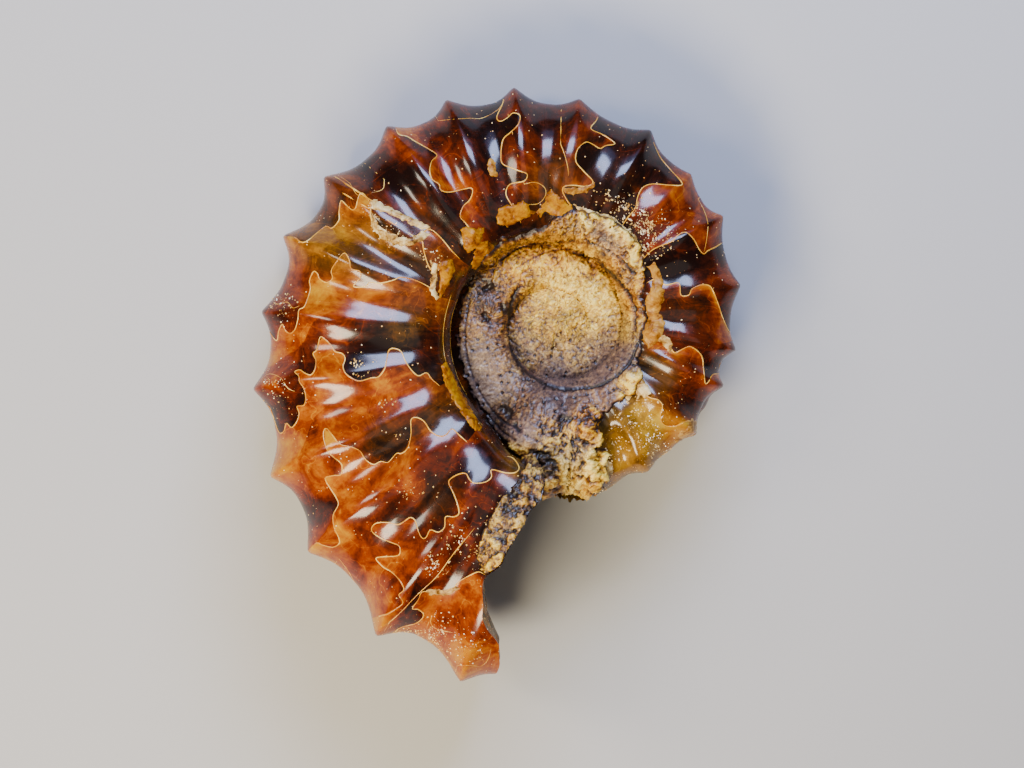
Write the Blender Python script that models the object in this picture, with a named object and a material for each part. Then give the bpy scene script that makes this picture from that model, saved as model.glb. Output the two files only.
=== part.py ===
"""A crystallized ammonite: a coiled fossil shell, ribbed and knobbed, whose chambers are filled with calcite.

The fossil is one solid. Its surface is worked out in the coil's own frame: X to the right, Y up, Z along the
coil's axis, and angles anticlockwise from X, growing towards the broken end. Each whorl is seated on the one
before it. The whole is then turned a little, so that it lies on three tubercles of its hidden flank.
Lengths are in metres.
"""

import math

import bmesh
import bpy
from mathutils import Matrix, Vector, noise

MM = 0.001
TURN = 2 * math.pi

# The spiral: the radius of the rib tips against the angle. It grows a little slower before CHANGE_ANGLE.
CHANGE_ANGLE = math.radians(34)
CHANGE_RADIUS = 19.4 * MM
CHANGE_SPAN = math.radians(12)
EARLY_GROWTH = 0.130
LATE_GROWTH = 0.1590
LAST_ANGLE = math.radians(261)
TURNS = 2

# The whorl's section, as shares of the tip radius. A place on it runs from 0 on the venter, the outer edge,
# over the crest of the flank and down the umbilical wall to 1 on the seam with the whorl before.
VENTER_SHARE = 0.988
HALF_BREADTH = 0.325
CREST_RADIUS = 0.60
CREST_PLACE = 0.56
SEAT_PLACE = 0.32
FLANK_SQUARENESS = 2.3
WALL_SQUARENESS = 2.9

# The last whorl's ribs: each one's angle in degrees, and its strength. Before them they are evenly spaced.
RIBS = (
    (-94, 0.8), (-76, 0.9), (-58, 0.9), (-38, 1.2), (-20, 1.2), (-8, 1.1), (12, 0.9), (33, 1.1), (48, 0.6),
    (64, 1.0), (84, 0.9), (100, 1.1), (116, 1.0), (130.5, 1.1), (147.5, 1.1), (162, 1.1), (177.5, 0.9), (192, 1.0),
    (208, 1.0), (222.5, 1.0), (240, 1.3), (255, 1.0), (270, 1.0),
)
EARLY_PITCH = math.radians(17.5)
RIB_LEAN = math.radians(5.5)
LEAN_FROM = 0.25
LEAN_TO = 0.85
TIP_HEIGHT = 0.060
TIP_PLACE = 0.15
TIP_SPREAD = 0.14
FLANK_HEIGHT = 0.034
FLANK_PLACE = 0.40
FLANK_SPREAD = 0.21
GROOVE_DEPTH = 0.030
GROOVE_SPREAD = 0.09
RIB_VARIETY = 0.2
INNER_RIB_SHARE = 0.25
RIBS_GROW_BEFORE = math.radians(50)
SPIRE_BLUNTNESS = 0.07
SPIRE_SHARPNESS = 1.35
FOLD_SHARPNESS = 1.2

# The crust that the lost end of the shell left on the start of the last whorl.
CRUST_THICKNESS = 2.7 * MM
CRUST_SPAN = math.radians(95)
CRUST_LEAD = math.radians(34)
CRUST_FROM = 0.35
CRUST_TO = 0.80
CRUST_GRAIN = 2.8 * MM
CRUST_ROUGHNESS = 0.45

# Lumps of shell left round the umbilicus, and pits in it: x, y, reach and height from the coil's axis, in mm.
LUMPS = (
    (-4.0, 11.0, 1.6, 0.5), (-8.0, 8.5, 1.2, 0.6), (-6.8, 7.4, 0.9, 0.4), (-10.8, 4.7, 1.1, 0.6),
    (-11.0, -4.5, 1.1, 0.5), (-8.5, -9.5, 1.2, 0.5), (9.4, 3.0, 1.2, 0.6), (9.7, -1.0, 1.1, 0.6),
    (-0.8, -13.5, 0.9, 0.6), (3.2, -10.0, 1.0, 0.5), (3.4, -16.2, 0.9, 0.5),
    (5.6, -11.2, 1.1, -1.1), (-6.8, 3.5, 0.9, -0.5), (-7.0, 0.7, 0.8, -0.5), (-5.5, -8.5, 0.9, -0.5),
    (1.1, -13.3, 0.8, -0.7), (0.8, -8.0, 0.8, -0.5),
)
UNDER_LUMP_TURN = math.radians(-50)
LUMPS_FADE = 0.14
SEAM_FADE = 0.12

# The mound of grains that fills the middle of the umbilicus, and how deep its edge lies on the first whorl.
MOUND_EDGE_RADIUS = 0.40
MOUND_EDGE_HEIGHTS = ((math.radians(-460), 0.88), (math.radians(-275), 0.80), (math.radians(-200), 0.45),
                      (math.radians(-99), 0.40))
MOUND_HEIGHT = 2.45 * MM
MOUND_STEPS = 7

# The broken end: how many degrees the edge stands forward at places along the section, and the face in it.
BREAK_EDGE = ((0.0, -1.5), (0.20, -0.4), (0.28, -1.0), (0.39, -5.4), (0.46, -6.9), (0.52, -3.6), (0.62, 0.5),
              (0.71, 4.0), (0.80, 5.0), (1.0, 0.0))
BREAK_REACH = math.radians(24)
BREAK_HOLLOW = math.radians(6.5)
BREAK_FLUTE = math.radians(3)
BREAK_FLUTES = 4
BREAK_STEPS = 6

# How finely the surface is sampled, before it is thinned to FACES.
RINGS_PER_RIB = 8
SEAT_STEPS = 7
FLANK_STEPS = 5
WALL_STEPS = 8
FACES = 9400

# The ribs whose flank tubercles it lies on, and how much of those is worn flat.
REST_RIBS = (21, 14, 13)
REST_WEAR = 0.15 * MM
REST_SEARCH = math.radians(7)
REST_STEPS = 8
REST_TRIES = 3

CALCITE_COLOUR = (0.42, 0.13, 0.02, 1.0)
CALCITE_ROUGHNESS = 0.12
SHARP_ANGLE = math.radians(40)


def smooth(value):
    """A ramp from 0 to 1, level at both ends."""
    value = min(1.0, max(0.0, value))
    return value * value * (3 - 2 * value)


def along(points, place):
    """The value at a place, eased between the (place, value) points of a list."""
    if place <= points[0][0]:
        return points[0][1]
    for (low, first), (high, second) in zip(points, points[1:]):
        if place <= high:
            return first + (second - first) * smooth((place - low) / (high - low))
    return points[-1][1]


def bump(place, centre, width):
    """A round hill of height 1."""
    return math.exp(-(((place - centre) / width) ** 2))


def tip_radius(angle):
    """The radius of the rib tips at an angle along the spiral."""
    past = (angle - CHANGE_ANGLE) / CHANGE_SPAN
    late = CHANGE_SPAN * (past if past > 30 else math.log1p(math.exp(past)))
    return CHANGE_RADIUS * math.exp(EARLY_GROWTH * (angle - CHANGE_ANGLE) + (LATE_GROWTH - EARLY_GROWTH) * late)


def rib_phase(angle):
    """The rib count at an angle: a whole number on each rib's crest."""
    degrees = math.degrees(angle)
    if degrees <= RIBS[0][0]:
        return (angle - math.radians(RIBS[0][0])) / EARLY_PITCH
    for count, ((low, _), (high, _)) in enumerate(zip(RIBS, RIBS[1:])):
        if degrees <= high:
            return count + (degrees - low) / (high - low)
    return len(RIBS) - 1.0


def phase_angle(phase):
    """The angle at a rib count, the other way round."""
    if phase <= 0:
        return math.radians(RIBS[0][0]) + phase * EARLY_PITCH
    count = min(int(phase), len(RIBS) - 2)
    low, high = RIBS[count][0], RIBS[count + 1][0]
    return math.radians(low + (phase - count) * (high - low))


def rib_strength(phase):
    """How strong the ribs are at a rib count, eased from each rib to the next."""
    count = min(max(0, math.floor(phase)), len(RIBS) - 2)
    return RIBS[count][1] + (RIBS[count + 1][1] - RIBS[count][1]) * smooth(phase - count)


def spire(phase):
    """A rib's height across its pitch where it rises to a point between two round valleys."""
    return max(0.0, 1 - math.hypot(math.sin(math.pi * phase), SPIRE_BLUNTNESS)) ** SPIRE_SHARPNESS


def fold(phase):
    """A rib's height across its pitch where it is a round fold."""
    return (0.5 + 0.5 * math.cos(TURN * phase)) ** FOLD_SHARPNESS


def ribs(angle, place, side):
    """How far ribs, knobs and the venter's groove stand out, as a share of the tip radius."""
    phase = rib_phase(angle - RIB_LEAN * smooth((place - LEAN_FROM) / (LEAN_TO - LEAN_FROM)))
    grown = smooth((angle - LAST_ANGLE + TURN + RIBS_GROW_BEFORE) / (2 * RIBS_GROW_BEFORE))
    share = INNER_RIB_SHARE + (1 - INNER_RIB_SHARE) * grown
    share *= rib_strength(phase) * (1 + RIB_VARIETY * noise.noise(Vector((2 * angle, 2 * place, 3 * side))))
    knobs = TIP_HEIGHT * bump(place, TIP_PLACE, TIP_SPREAD) * spire(phase)
    flank = FLANK_HEIGHT * bump(place, FLANK_PLACE, FLANK_SPREAD) * fold(phase)
    return share * (knobs + flank) - GROOVE_DEPTH * bump(place, 0, GROOVE_SPREAD)


def crust(angle, place, point):
    """The thickness of the rough crust on the start of the last whorl."""
    from_start = angle - (LAST_ANGLE - TURN)
    if from_start < -CRUST_LEAD or from_start > CRUST_SPAN:
        return 0.0
    cover = smooth(1 - from_start / CRUST_SPAN) * smooth(1 + from_start / CRUST_LEAD)
    cover *= smooth((CRUST_TO - place) / (CRUST_TO - CRUST_FROM))
    return CRUST_THICKNESS * cover * (1 + CRUST_ROUGHNESS * noise.noise(point / CRUST_GRAIN))


def lumps(point):
    """The height of the lumps and pits round the umbilicus at a point."""
    turn = 0.0 if point.z > 0 else UNDER_LUMP_TURN
    x = (point.x * math.cos(turn) - point.y * math.sin(turn)) / MM
    y = (point.x * math.sin(turn) + point.y * math.cos(turn)) / MM
    return MM * sum(height * bump(math.hypot(x - mx, y - my), 0, reach) for mx, my, reach, height in LUMPS)


def section(angle, place, side):
    """The smooth section's (radius, height) at a place on it, and its outward normal in the same plane."""
    venter = tip_radius(angle) * VENTER_SHARE
    breadth = tip_radius(angle) * HALF_BREADTH
    crest = tip_radius(angle) * CREST_RADIUS
    if place <= CREST_PLACE:
        turn = math.pi / 2 * place / CREST_PLACE
        power = 2 / FLANK_SQUARENESS
        run, rise = abs(math.cos(turn)), math.sin(turn)
        across = crest + (venter - crest) * run ** power
        normal = (run ** (2 - power) / (venter - crest), rise ** (2 - power) / breadth)
        return across, breadth * rise ** power, normal
    seat = seam(angle, side)
    turn = math.pi / 2 * (place - CREST_PLACE) / (1 - CREST_PLACE)
    power = 2 / WALL_SQUARENESS
    run, rise = math.sin(turn), abs(math.cos(turn))
    across = crest - (crest - seat[0]) * run ** power
    normal = (-run ** (2 - power) / (crest - seat[0]), rise ** (2 - power) / (breadth - seat[1]))
    return across, seat[1] + (breadth - seat[1]) * rise ** power, normal


def seam(angle, side):
    """The (radius, height) of the seam: a point on the whorl before, or the mound's edge on the first whorl."""
    if angle < LAST_ANGLE - (TURNS - 1) * TURN - 1e-6:
        height = tip_radius(angle) * HALF_BREADTH * along(MOUND_EDGE_HEIGHTS, angle)
        return tip_radius(angle) * MOUND_EDGE_RADIUS, height
    below = shell_point(angle - TURN, SEAT_PLACE, side)
    return math.hypot(below.x, below.y), abs(below.z)


def shell_point(angle, place, side):
    """The point of the finished surface at an angle and a place on the section, on the upper or lower side."""
    across, height, normal = section(angle, place, side)
    at = Vector((across * math.cos(angle), across * math.sin(angle), side * height))
    size = math.hypot(*normal)
    out = tip_radius(angle) * ribs(angle, place, side) + crust(angle, place, at)
    out += lumps(at) * smooth(place / LUMPS_FADE)
    out *= smooth((1 - place) / SEAM_FADE) / size
    return at + out * Vector((normal[0] * math.cos(angle), normal[0] * math.sin(angle), side * normal[1]))


def edge_angle(angle, place):
    """An angle near the broken end, moved so that the last one follows the ragged edge."""
    return angle + math.radians(along(BREAK_EDGE, place)) * smooth((angle - LAST_ANGLE + BREAK_REACH) / BREAK_REACH)


def section_places():
    """The places sampled on each section, with the seat of the next whorl at index SEAT_STEPS."""
    places = [SEAT_PLACE * i / SEAT_STEPS for i in range(SEAT_STEPS)]
    places += [SEAT_PLACE + (CREST_PLACE - SEAT_PLACE) * i / FLANK_STEPS for i in range(FLANK_STEPS)]
    return places + [CREST_PLACE + (1 - CREST_PLACE) * i / WALL_STEPS for i in range(WALL_STEPS + 1)]


def ring_angles():
    """The angles of all rings: some on each rib of the last whorl, and the same ones in each whorl."""
    start = LAST_ANGLE - TURN
    steps = [phase_angle(i / RINGS_PER_RIB) for i in range(-RINGS_PER_RIB, RINGS_PER_RIB * len(RIBS))]
    gap = EARLY_PITCH / RINGS_PER_RIB / 2
    whorl = [start] + [angle for angle in steps if start + gap < angle < LAST_ANGLE - gap]
    return [angle - TURN * (TURNS - 1 - t) for t in range(TURNS) for angle in whorl] + [LAST_ANGLE]


def surface_grid(mesh, angles, places):
    """The vertices of each side's grid, by (side, ring, place), with seams and venter shared."""
    grid = {}
    rings = len(angles) // TURNS
    whole_from = len(angles) - 1 - rings
    for side in (1, -1):
        for i, angle in enumerate(angles):
            for j, place in enumerate(places):
                if j == len(places) - 1 and i >= rings:
                    grid[side, i, j] = grid[side, i - rings, SEAT_STEPS]
                elif j == 0 and side == -1 and i >= whole_from:
                    grid[side, i, j] = grid[1, i, j]
                elif j >= SEAT_STEPS or i >= whole_from:
                    grid[side, i, j] = mesh.verts.new(shell_point(edge_angle(angle, place), place, side))
    for side in (1, -1):
        for i in range(len(angles) - 1):
            for j in range(0 if i >= whole_from else SEAT_STEPS, len(places) - 1):
                corners = (grid[side, i, j], grid[side, i + 1, j], grid[side, i + 1, j + 1], grid[side, i, j + 1])
                mesh.faces.new(corners)
    return grid


def band(mesh, row, other):
    """Triangles between two rows of vertices that start together and end together."""
    i, j = 0, 0
    while i < len(row) - 1 or j < len(other) - 1:
        if j == len(other) - 1 or (i < len(row) - 1 and (i + 1) * (len(other) - 1) <= (j + 1) * (len(row) - 1)):
            corners = (row[i], row[i + 1], other[j])
            i += 1
        else:
            corners = (row[i], other[j + 1], other[j])
            j += 1
        if len(set(corners)) == 3:
            mesh.faces.new(corners)


def mound(mesh, rim, side):
    """The mound inside a rim of vertices, in rings that close on its middle."""
    centre = Vector((0.0, 0.0, side * MOUND_HEIGHT))
    row = rim
    for step in range(1, MOUND_STEPS):
        share = step / MOUND_STEPS
        inner = []
        for vertex in rim:
            at = vertex.co.lerp(centre, share)
            at.z = vertex.co.z + (centre.z - vertex.co.z) * math.sin(math.pi / 2 * share)
            inner.append(mesh.verts.new(at))
        for k in range(len(rim)):
            mesh.faces.new((row[k - 1], row[k], inner[k], inner[k - 1]))
        row = inner
    middle = mesh.verts.new(centre)
    for k in range(len(row)):
        mesh.faces.new((row[k - 1], row[k], middle))


def broken_face(mesh, outer, inner):
    """The face of the broken end, from its edge in to the whorl before, hollowed and fluted like a septum."""
    row, count = outer, len(outer)
    for step in range(1, BREAK_STEPS):
        share = step / BREAK_STEPS
        next_row = [outer[0]]
        for k in range(1, count - 1):
            run = k / (count - 1) * (len(inner) - 1)
            low = min(int(run), len(inner) - 2)
            at = outer[k].co.lerp(inner[low].co.lerp(inner[low + 1].co, run - low), share)
            back = BREAK_HOLLOW + BREAK_FLUTE * (0.5 + 0.5 * math.cos(TURN * BREAK_FLUTES * k / (count - 1)))
            back *= math.sin(math.pi * share) * math.sqrt(math.sin(math.pi * k / (count - 1)))
            next_row.append(mesh.verts.new(Matrix.Rotation(-back, 3, 'Z') @ at))
        next_row.append(outer[-1])
        band(mesh, row, next_row)
        row = next_row
    band(mesh, row, inner)


def fossil_mesh():
    """The whole fossil as one closed mesh, in the coil's frame."""
    mesh = bmesh.new()
    angles, places = ring_angles(), section_places()
    grid = surface_grid(mesh, angles, places)
    last, seam_place = len(angles) - 1, len(places) - 1
    rings = len(angles) // TURNS
    whole_from = last - rings
    for side in (1, -1):
        rim = [grid[side, 0, j] for j in range(SEAT_STEPS, seam_place)]
        rim += [grid[side, i, seam_place] for i in range(rings)]
        mound(mesh, rim, side)
    outer = [grid[1, last, j] for j in range(seam_place, -1, -1)] + [grid[-1, last, j] for j in range(1, len(places))]
    inner = [grid[1, whole_from, j] for j in range(SEAT_STEPS, -1, -1)]
    inner += [grid[-1, whole_from, j] for j in range(1, SEAT_STEPS + 1)]
    broken_face(mesh, outer, inner)
    bmesh.ops.recalc_face_normals(mesh, faces=mesh.faces)
    bmesh.ops.triangulate(mesh, faces=mesh.faces)
    return mesh


def thinned(mesh, faces):
    """The mesh with about that many triangles, the fewest where it is smoothest."""
    data = bpy.data.meshes.new('fine_fossil')
    mesh.to_mesh(data)
    mesh.free()
    fine = bpy.data.objects.new('fine_fossil', data)
    bpy.context.scene.collection.objects.link(fine)
    thin = fine.modifiers.new('Thin', 'DECIMATE')
    thin.ratio = faces / len(data.polygons)
    bpy.context.view_layer.update()
    result = bpy.data.meshes.new_from_object(fine.evaluated_get(bpy.context.evaluated_depsgraph_get()))
    bpy.data.objects.remove(fine)
    return result


def resting_turn():
    """The turn that brings the three resting tubercles to one level, found from their lowest points."""
    turn = Matrix.Identity(3)
    for _ in range(REST_TRIES):
        feet = []
        for rib in REST_RIBS:
            middle = phase_angle(rib) + RIB_LEAN
            near = [shell_point(middle + REST_SEARCH * i / REST_STEPS, CREST_PLACE * (1 + j / REST_STEPS / 2), -1)
                    for i in range(-REST_STEPS, REST_STEPS + 1) for j in range(-REST_STEPS, 1)]
            feet.append(min((turn @ point for point in near), key=lambda point: point.z))
        up = (feet[1] - feet[0]).cross(feet[2] - feet[0]).normalized()
        up = up if up.z > 0 else -up
        turn = up.rotation_difference(Vector((0, 0, 1))).to_matrix() @ turn
    return turn.to_4x4()


def lay_down(data):
    """Turns the mesh onto its tubercles, wears them flat on the floor and centres it over the origin."""
    data.transform(resting_turn())
    mesh = bmesh.new()
    mesh.from_mesh(data)
    floor = min(v.co.z for v in mesh.verts) + REST_WEAR
    bmesh.ops.bisect_plane(mesh, geom=mesh.verts[:] + mesh.edges[:] + mesh.faces[:], dist=1e-7,
                           plane_co=(0, 0, floor), plane_no=(0, 0, -1), clear_outer=True)
    bmesh.ops.holes_fill(mesh, edges=[e for e in mesh.edges if e.is_boundary], sides=0)
    bmesh.ops.triangulate(mesh, faces=mesh.faces)
    bmesh.ops.recalc_face_normals(mesh, faces=mesh.faces)
    xs = [v.co.x for v in mesh.verts]
    ys = [v.co.y for v in mesh.verts]
    middle = Vector(((min(xs) + max(xs)) / 2, (min(ys) + max(ys)) / 2, floor))
    bmesh.ops.translate(mesh, verts=mesh.verts, vec=-middle)
    print('the coil\'s centre lies at', tuple(round(-c, 6) for c in middle))
    mesh.to_mesh(data)
    mesh.free()


def calcite():
    """Polished honey-brown calcite."""
    material = bpy.data.materials.new('calcite')
    material.use_nodes = True
    shader = material.node_tree.nodes['Principled BSDF']
    shader.inputs['Base Color'].default_value = CALCITE_COLOUR
    shader.inputs['Roughness'].default_value = CALCITE_ROUGHNESS
    shader.inputs['Metallic'].default_value = 0.0
    return material


def main():
    for thing in list(bpy.data.objects):
        bpy.data.objects.remove(thing)
    data = thinned(fossil_mesh(), FACES)
    lay_down(data)
    data.name = 'ammonite'
    data.materials.append(calcite())
    data.shade_smooth()
    data.set_sharp_from_angle(angle=SHARP_ANGLE)
    bpy.context.scene.collection.objects.link(bpy.data.objects.new('ammonite', data))


main()
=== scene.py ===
# %% [markdown]
# # A crystallized ammonite
# The chambers of this coiled shell filled with honey-brown calcite, and the shell itself was polished away. What
# shows is the calcite, with the leafy edge of every chamber wall drawn on it, and a dull crust round the middle.
# The plain solid has the right shape already, so each piece here is laid exactly where the solid is.

# %% Load the plain solid and note its box
import math
from functools import lru_cache
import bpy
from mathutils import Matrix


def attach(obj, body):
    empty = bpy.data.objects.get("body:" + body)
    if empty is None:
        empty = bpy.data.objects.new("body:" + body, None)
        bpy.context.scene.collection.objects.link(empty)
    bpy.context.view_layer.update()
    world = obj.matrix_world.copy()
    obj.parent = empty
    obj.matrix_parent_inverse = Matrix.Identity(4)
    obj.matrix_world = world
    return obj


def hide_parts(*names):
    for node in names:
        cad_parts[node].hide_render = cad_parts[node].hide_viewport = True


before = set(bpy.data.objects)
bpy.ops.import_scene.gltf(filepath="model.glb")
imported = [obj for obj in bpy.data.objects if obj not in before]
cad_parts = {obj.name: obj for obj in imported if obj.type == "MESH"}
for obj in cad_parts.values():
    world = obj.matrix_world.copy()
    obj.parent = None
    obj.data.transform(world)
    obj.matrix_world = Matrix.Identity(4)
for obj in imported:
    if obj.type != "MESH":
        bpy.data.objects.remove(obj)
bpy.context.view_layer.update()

# %% Units and small helpers
import bmesh
import bpy
import numpy as np
from mathutils import Matrix, Vector, noise
from mathutils.bvhtree import BVHTree

MM = 0.001
TURN = 2 * math.pi
NOISE_SEED = 7

# Noise that gives a vector would start from the clock, so that each run would differ.
noise.seed_set(NOISE_SEED)


def smooth(value):
    """A ramp from 0 to 1, level at both ends."""
    value = min(1.0, max(0.0, value))
    return value * value * (3 - 2 * value)


def along(points, place):
    """The value at a place, eased between the (place, value) points of a list."""
    if place <= points[0][0]:
        return points[0][1]
    for (low, first), (high, second) in zip(points, points[1:]):
        if place <= high:
            return first + (second - first) * smooth((place - low) / (high - low))
    return points[-1][1]


def bump(place, centre, width):
    """A round hill of height 1."""
    return math.exp(-(((place - centre) / width) ** 2))


print("half way up the ramp:", smooth(0.5))

# %% [markdown]
# ## The coil
# A shell of this kind grows by the same share with every degree, so a logarithmic spiral gives the radius of its
# rib tips. The values are the same as those of the solid, and angles run anticlockwise in radians, seen from
# above, up to the broken end.

# %% The spiral's radius at an angle
CHANGE_ANGLE = math.radians(34)
CHANGE_RADIUS = 19.4 * MM
CHANGE_SPAN = math.radians(12)
EARLY_GROWTH = 0.130
LATE_GROWTH = 0.1590
LAST_ANGLE = math.radians(261)
TURNS = 2


def tip_radius(angle):
    """The radius of the rib tips at an angle along the spiral."""
    past = (angle - CHANGE_ANGLE) / CHANGE_SPAN
    late = CHANGE_SPAN * (past if past > 30 else math.log1p(math.exp(past)))
    return CHANGE_RADIUS * math.exp(EARLY_GROWTH * (angle - CHANGE_ANGLE) + (LATE_GROWTH - EARLY_GROWTH) * late)


print("radius at the broken end, mm:", round(tip_radius(LAST_ANGLE) / MM, 2))

# %% [markdown]
# ## Ribs, knobs, crust and lumps
# Each rib is a fold over the flank that rises to a knob near the outer edge. How strong it is changes from rib to
# rib, so the ribs are a list of angles and strengths, and a rib count turns any angle into a place between two.
# The angles were measured on the outline in the photograph, with a script's help, and typed in by hand, nearly as
# measured. The strengths are listed.

# %% The ribs
RIBS = (
    (-94, 0.8), (-76, 0.9), (-58, 0.9), (-38, 1.2), (-20, 1.2), (-8, 1.1), (12, 0.9), (33, 1.1), (48, 0.6),
    (64, 1.0), (84, 0.9), (100, 1.1), (116, 1.0), (130.5, 1.1), (147.5, 1.1), (162, 1.1), (177.5, 0.9), (192, 1.0),
    (208, 1.0), (222.5, 1.0), (240, 1.3), (255, 1.0), (270, 1.0),
)
EARLY_PITCH = math.radians(17.5)
RIB_LEAN = math.radians(5.5)
LEAN_FROM = 0.25
LEAN_TO = 0.85
TIP_HEIGHT = 0.060
TIP_PLACE = 0.15
TIP_SPREAD = 0.14
FLANK_HEIGHT = 0.034
FLANK_PLACE = 0.40
FLANK_SPREAD = 0.21
GROOVE_DEPTH = 0.030
GROOVE_SPREAD = 0.09
RIB_VARIETY = 0.2
INNER_RIB_SHARE = 0.25
RIBS_GROW_BEFORE = math.radians(50)
SPIRE_BLUNTNESS = 0.07
SPIRE_SHARPNESS = 1.35
FOLD_SHARPNESS = 1.2


def rib_phase(angle):
    """The rib count at an angle: a whole number on each rib's crest."""
    degrees = math.degrees(angle)
    if degrees <= RIBS[0][0]:
        return (angle - math.radians(RIBS[0][0])) / EARLY_PITCH
    for count, ((low, _), (high, _)) in enumerate(zip(RIBS, RIBS[1:])):
        if degrees <= high:
            return count + (degrees - low) / (high - low)
    return len(RIBS) - 1.0


def phase_angle(phase):
    """The angle at a rib count, the other way round."""
    count = min(int(phase), len(RIBS) - 2)
    low, high = RIBS[count][0], RIBS[count + 1][0]
    return math.radians(low + (phase - count) * (high - low))


def rib_strength(phase):
    """How strong the ribs are at a rib count, eased from each rib to the next."""
    count = min(max(0, math.floor(phase)), len(RIBS) - 2)
    return RIBS[count][1] + (RIBS[count + 1][1] - RIBS[count][1]) * smooth(phase - count)


def spire(phase):
    """A rib's height across its pitch where it rises to a point between two round valleys."""
    return max(0.0, 1 - math.hypot(math.sin(math.pi * phase), SPIRE_BLUNTNESS)) ** SPIRE_SHARPNESS


def fold(phase):
    """A rib's height across its pitch where it is a round fold."""
    return (0.5 + 0.5 * math.cos(TURN * phase)) ** FOLD_SHARPNESS


def ribs(angle, place, side):
    """How far ribs, knobs and the venter's groove stand out, as a share of the tip radius."""
    phase = rib_phase(angle - RIB_LEAN * smooth((place - LEAN_FROM) / (LEAN_TO - LEAN_FROM)))
    grown = smooth((angle - LAST_ANGLE + TURN + RIBS_GROW_BEFORE) / (2 * RIBS_GROW_BEFORE))
    share = INNER_RIB_SHARE + (1 - INNER_RIB_SHARE) * grown
    share *= rib_strength(phase) * (1 + RIB_VARIETY * noise.noise(Vector((2 * angle, 2 * place, 3 * side))))
    knobs = TIP_HEIGHT * bump(place, TIP_PLACE, TIP_SPREAD) * spire(phase)
    flank = FLANK_HEIGHT * bump(place, FLANK_PLACE, FLANK_SPREAD) * fold(phase)
    return share * (knobs + flank) - GROOVE_DEPTH * bump(place, 0, GROOVE_SPREAD)


print("the rib at 192 degrees is number", rib_phase(math.radians(192)))

# %% The crust on the start of the last whorl, and the lumps and pits round the umbilicus
CRUST_THICKNESS = 2.7 * MM
CRUST_SPAN = math.radians(95)
CRUST_LEAD = math.radians(34)
CRUST_FROM = 0.35
CRUST_TO = 0.80
CRUST_GRAIN = 2.8 * MM
CRUST_ROUGHNESS = 0.45
LUMPS = (
    (-4.0, 11.0, 1.6, 0.5), (-8.0, 8.5, 1.2, 0.6), (-6.8, 7.4, 0.9, 0.4), (-10.8, 4.7, 1.1, 0.6),
    (-11.0, -4.5, 1.1, 0.5), (-8.5, -9.5, 1.2, 0.5), (9.4, 3.0, 1.2, 0.6), (9.7, -1.0, 1.1, 0.6),
    (-0.8, -13.5, 0.9, 0.6), (3.2, -10.0, 1.0, 0.5), (3.4, -16.2, 0.9, 0.5),
    (5.6, -11.2, 1.1, -1.1), (-6.8, 3.5, 0.9, -0.5), (-7.0, 0.7, 0.8, -0.5), (-5.5, -8.5, 0.9, -0.5),
    (1.1, -13.3, 0.8, -0.7), (0.8, -8.0, 0.8, -0.5),
)
UNDER_LUMP_TURN = math.radians(-50)
LUMPS_FADE = 0.14
SEAM_FADE = 0.12


def crust(angle, place, point):
    """The thickness of the rough crust on the start of the last whorl."""
    from_start = angle - (LAST_ANGLE - TURN)
    if from_start < -CRUST_LEAD or from_start > CRUST_SPAN:
        return 0.0
    cover = smooth(1 - from_start / CRUST_SPAN) * smooth(1 + from_start / CRUST_LEAD)
    cover *= smooth((CRUST_TO - place) / (CRUST_TO - CRUST_FROM))
    return CRUST_THICKNESS * cover * (1 + CRUST_ROUGHNESS * noise.noise(point / CRUST_GRAIN))


def lumps(point):
    """The height of the lumps and pits round the umbilicus at a point."""
    turn = 0.0 if point.z > 0 else UNDER_LUMP_TURN
    x = (point.x * math.cos(turn) - point.y * math.sin(turn)) / MM
    y = (point.x * math.sin(turn) + point.y * math.cos(turn)) / MM
    return MM * sum(height * bump(math.hypot(x - mx, y - my), 0, reach) for mx, my, reach, height in LUMPS)


print("lumps and pits:", len(LUMPS))

# %% [markdown]
# ## The whorl's section
# A place on the section runs from 0 on the venter, the outer edge, over the flank's crest to 1 on the seam, where
# the whorl sits on the one before it. Each half is a quarter of a squarish oval.

# %% A point of the shell at an angle and a place
VENTER_SHARE = 0.988
HALF_BREADTH = 0.325
CREST_RADIUS = 0.60
CREST_PLACE = 0.56
SEAT_PLACE = 0.32
FLANK_SQUARENESS = 2.3
WALL_SQUARENESS = 2.9
MOUND_EDGE_RADIUS = 0.40
MOUND_EDGE_HEIGHTS = ((math.radians(-460), 0.88), (math.radians(-275), 0.80), (math.radians(-200), 0.45),
                      (math.radians(-99), 0.40))
MOUND_HEIGHT = 2.45 * MM


def section(angle, place, side):
    """The smooth section's (radius, height) at a place on it, and its outward normal in the same plane."""
    venter = tip_radius(angle) * VENTER_SHARE
    breadth = tip_radius(angle) * HALF_BREADTH
    crest = tip_radius(angle) * CREST_RADIUS
    if place <= CREST_PLACE:
        turn = math.pi / 2 * place / CREST_PLACE
        power = 2 / FLANK_SQUARENESS
        run, rise = abs(math.cos(turn)), math.sin(turn)
        across = crest + (venter - crest) * run ** power
        normal = (run ** (2 - power) / (venter - crest), rise ** (2 - power) / breadth)
        return across, breadth * rise ** power, normal
    seat = seam(angle, side)
    turn = math.pi / 2 * (place - CREST_PLACE) / (1 - CREST_PLACE)
    power = 2 / WALL_SQUARENESS
    run, rise = math.sin(turn), abs(math.cos(turn))
    across = crest - (crest - seat[0]) * run ** power
    normal = (-run ** (2 - power) / (crest - seat[0]), rise ** (2 - power) / (breadth - seat[1]))
    return across, seat[1] + (breadth - seat[1]) * rise ** power, normal


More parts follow.
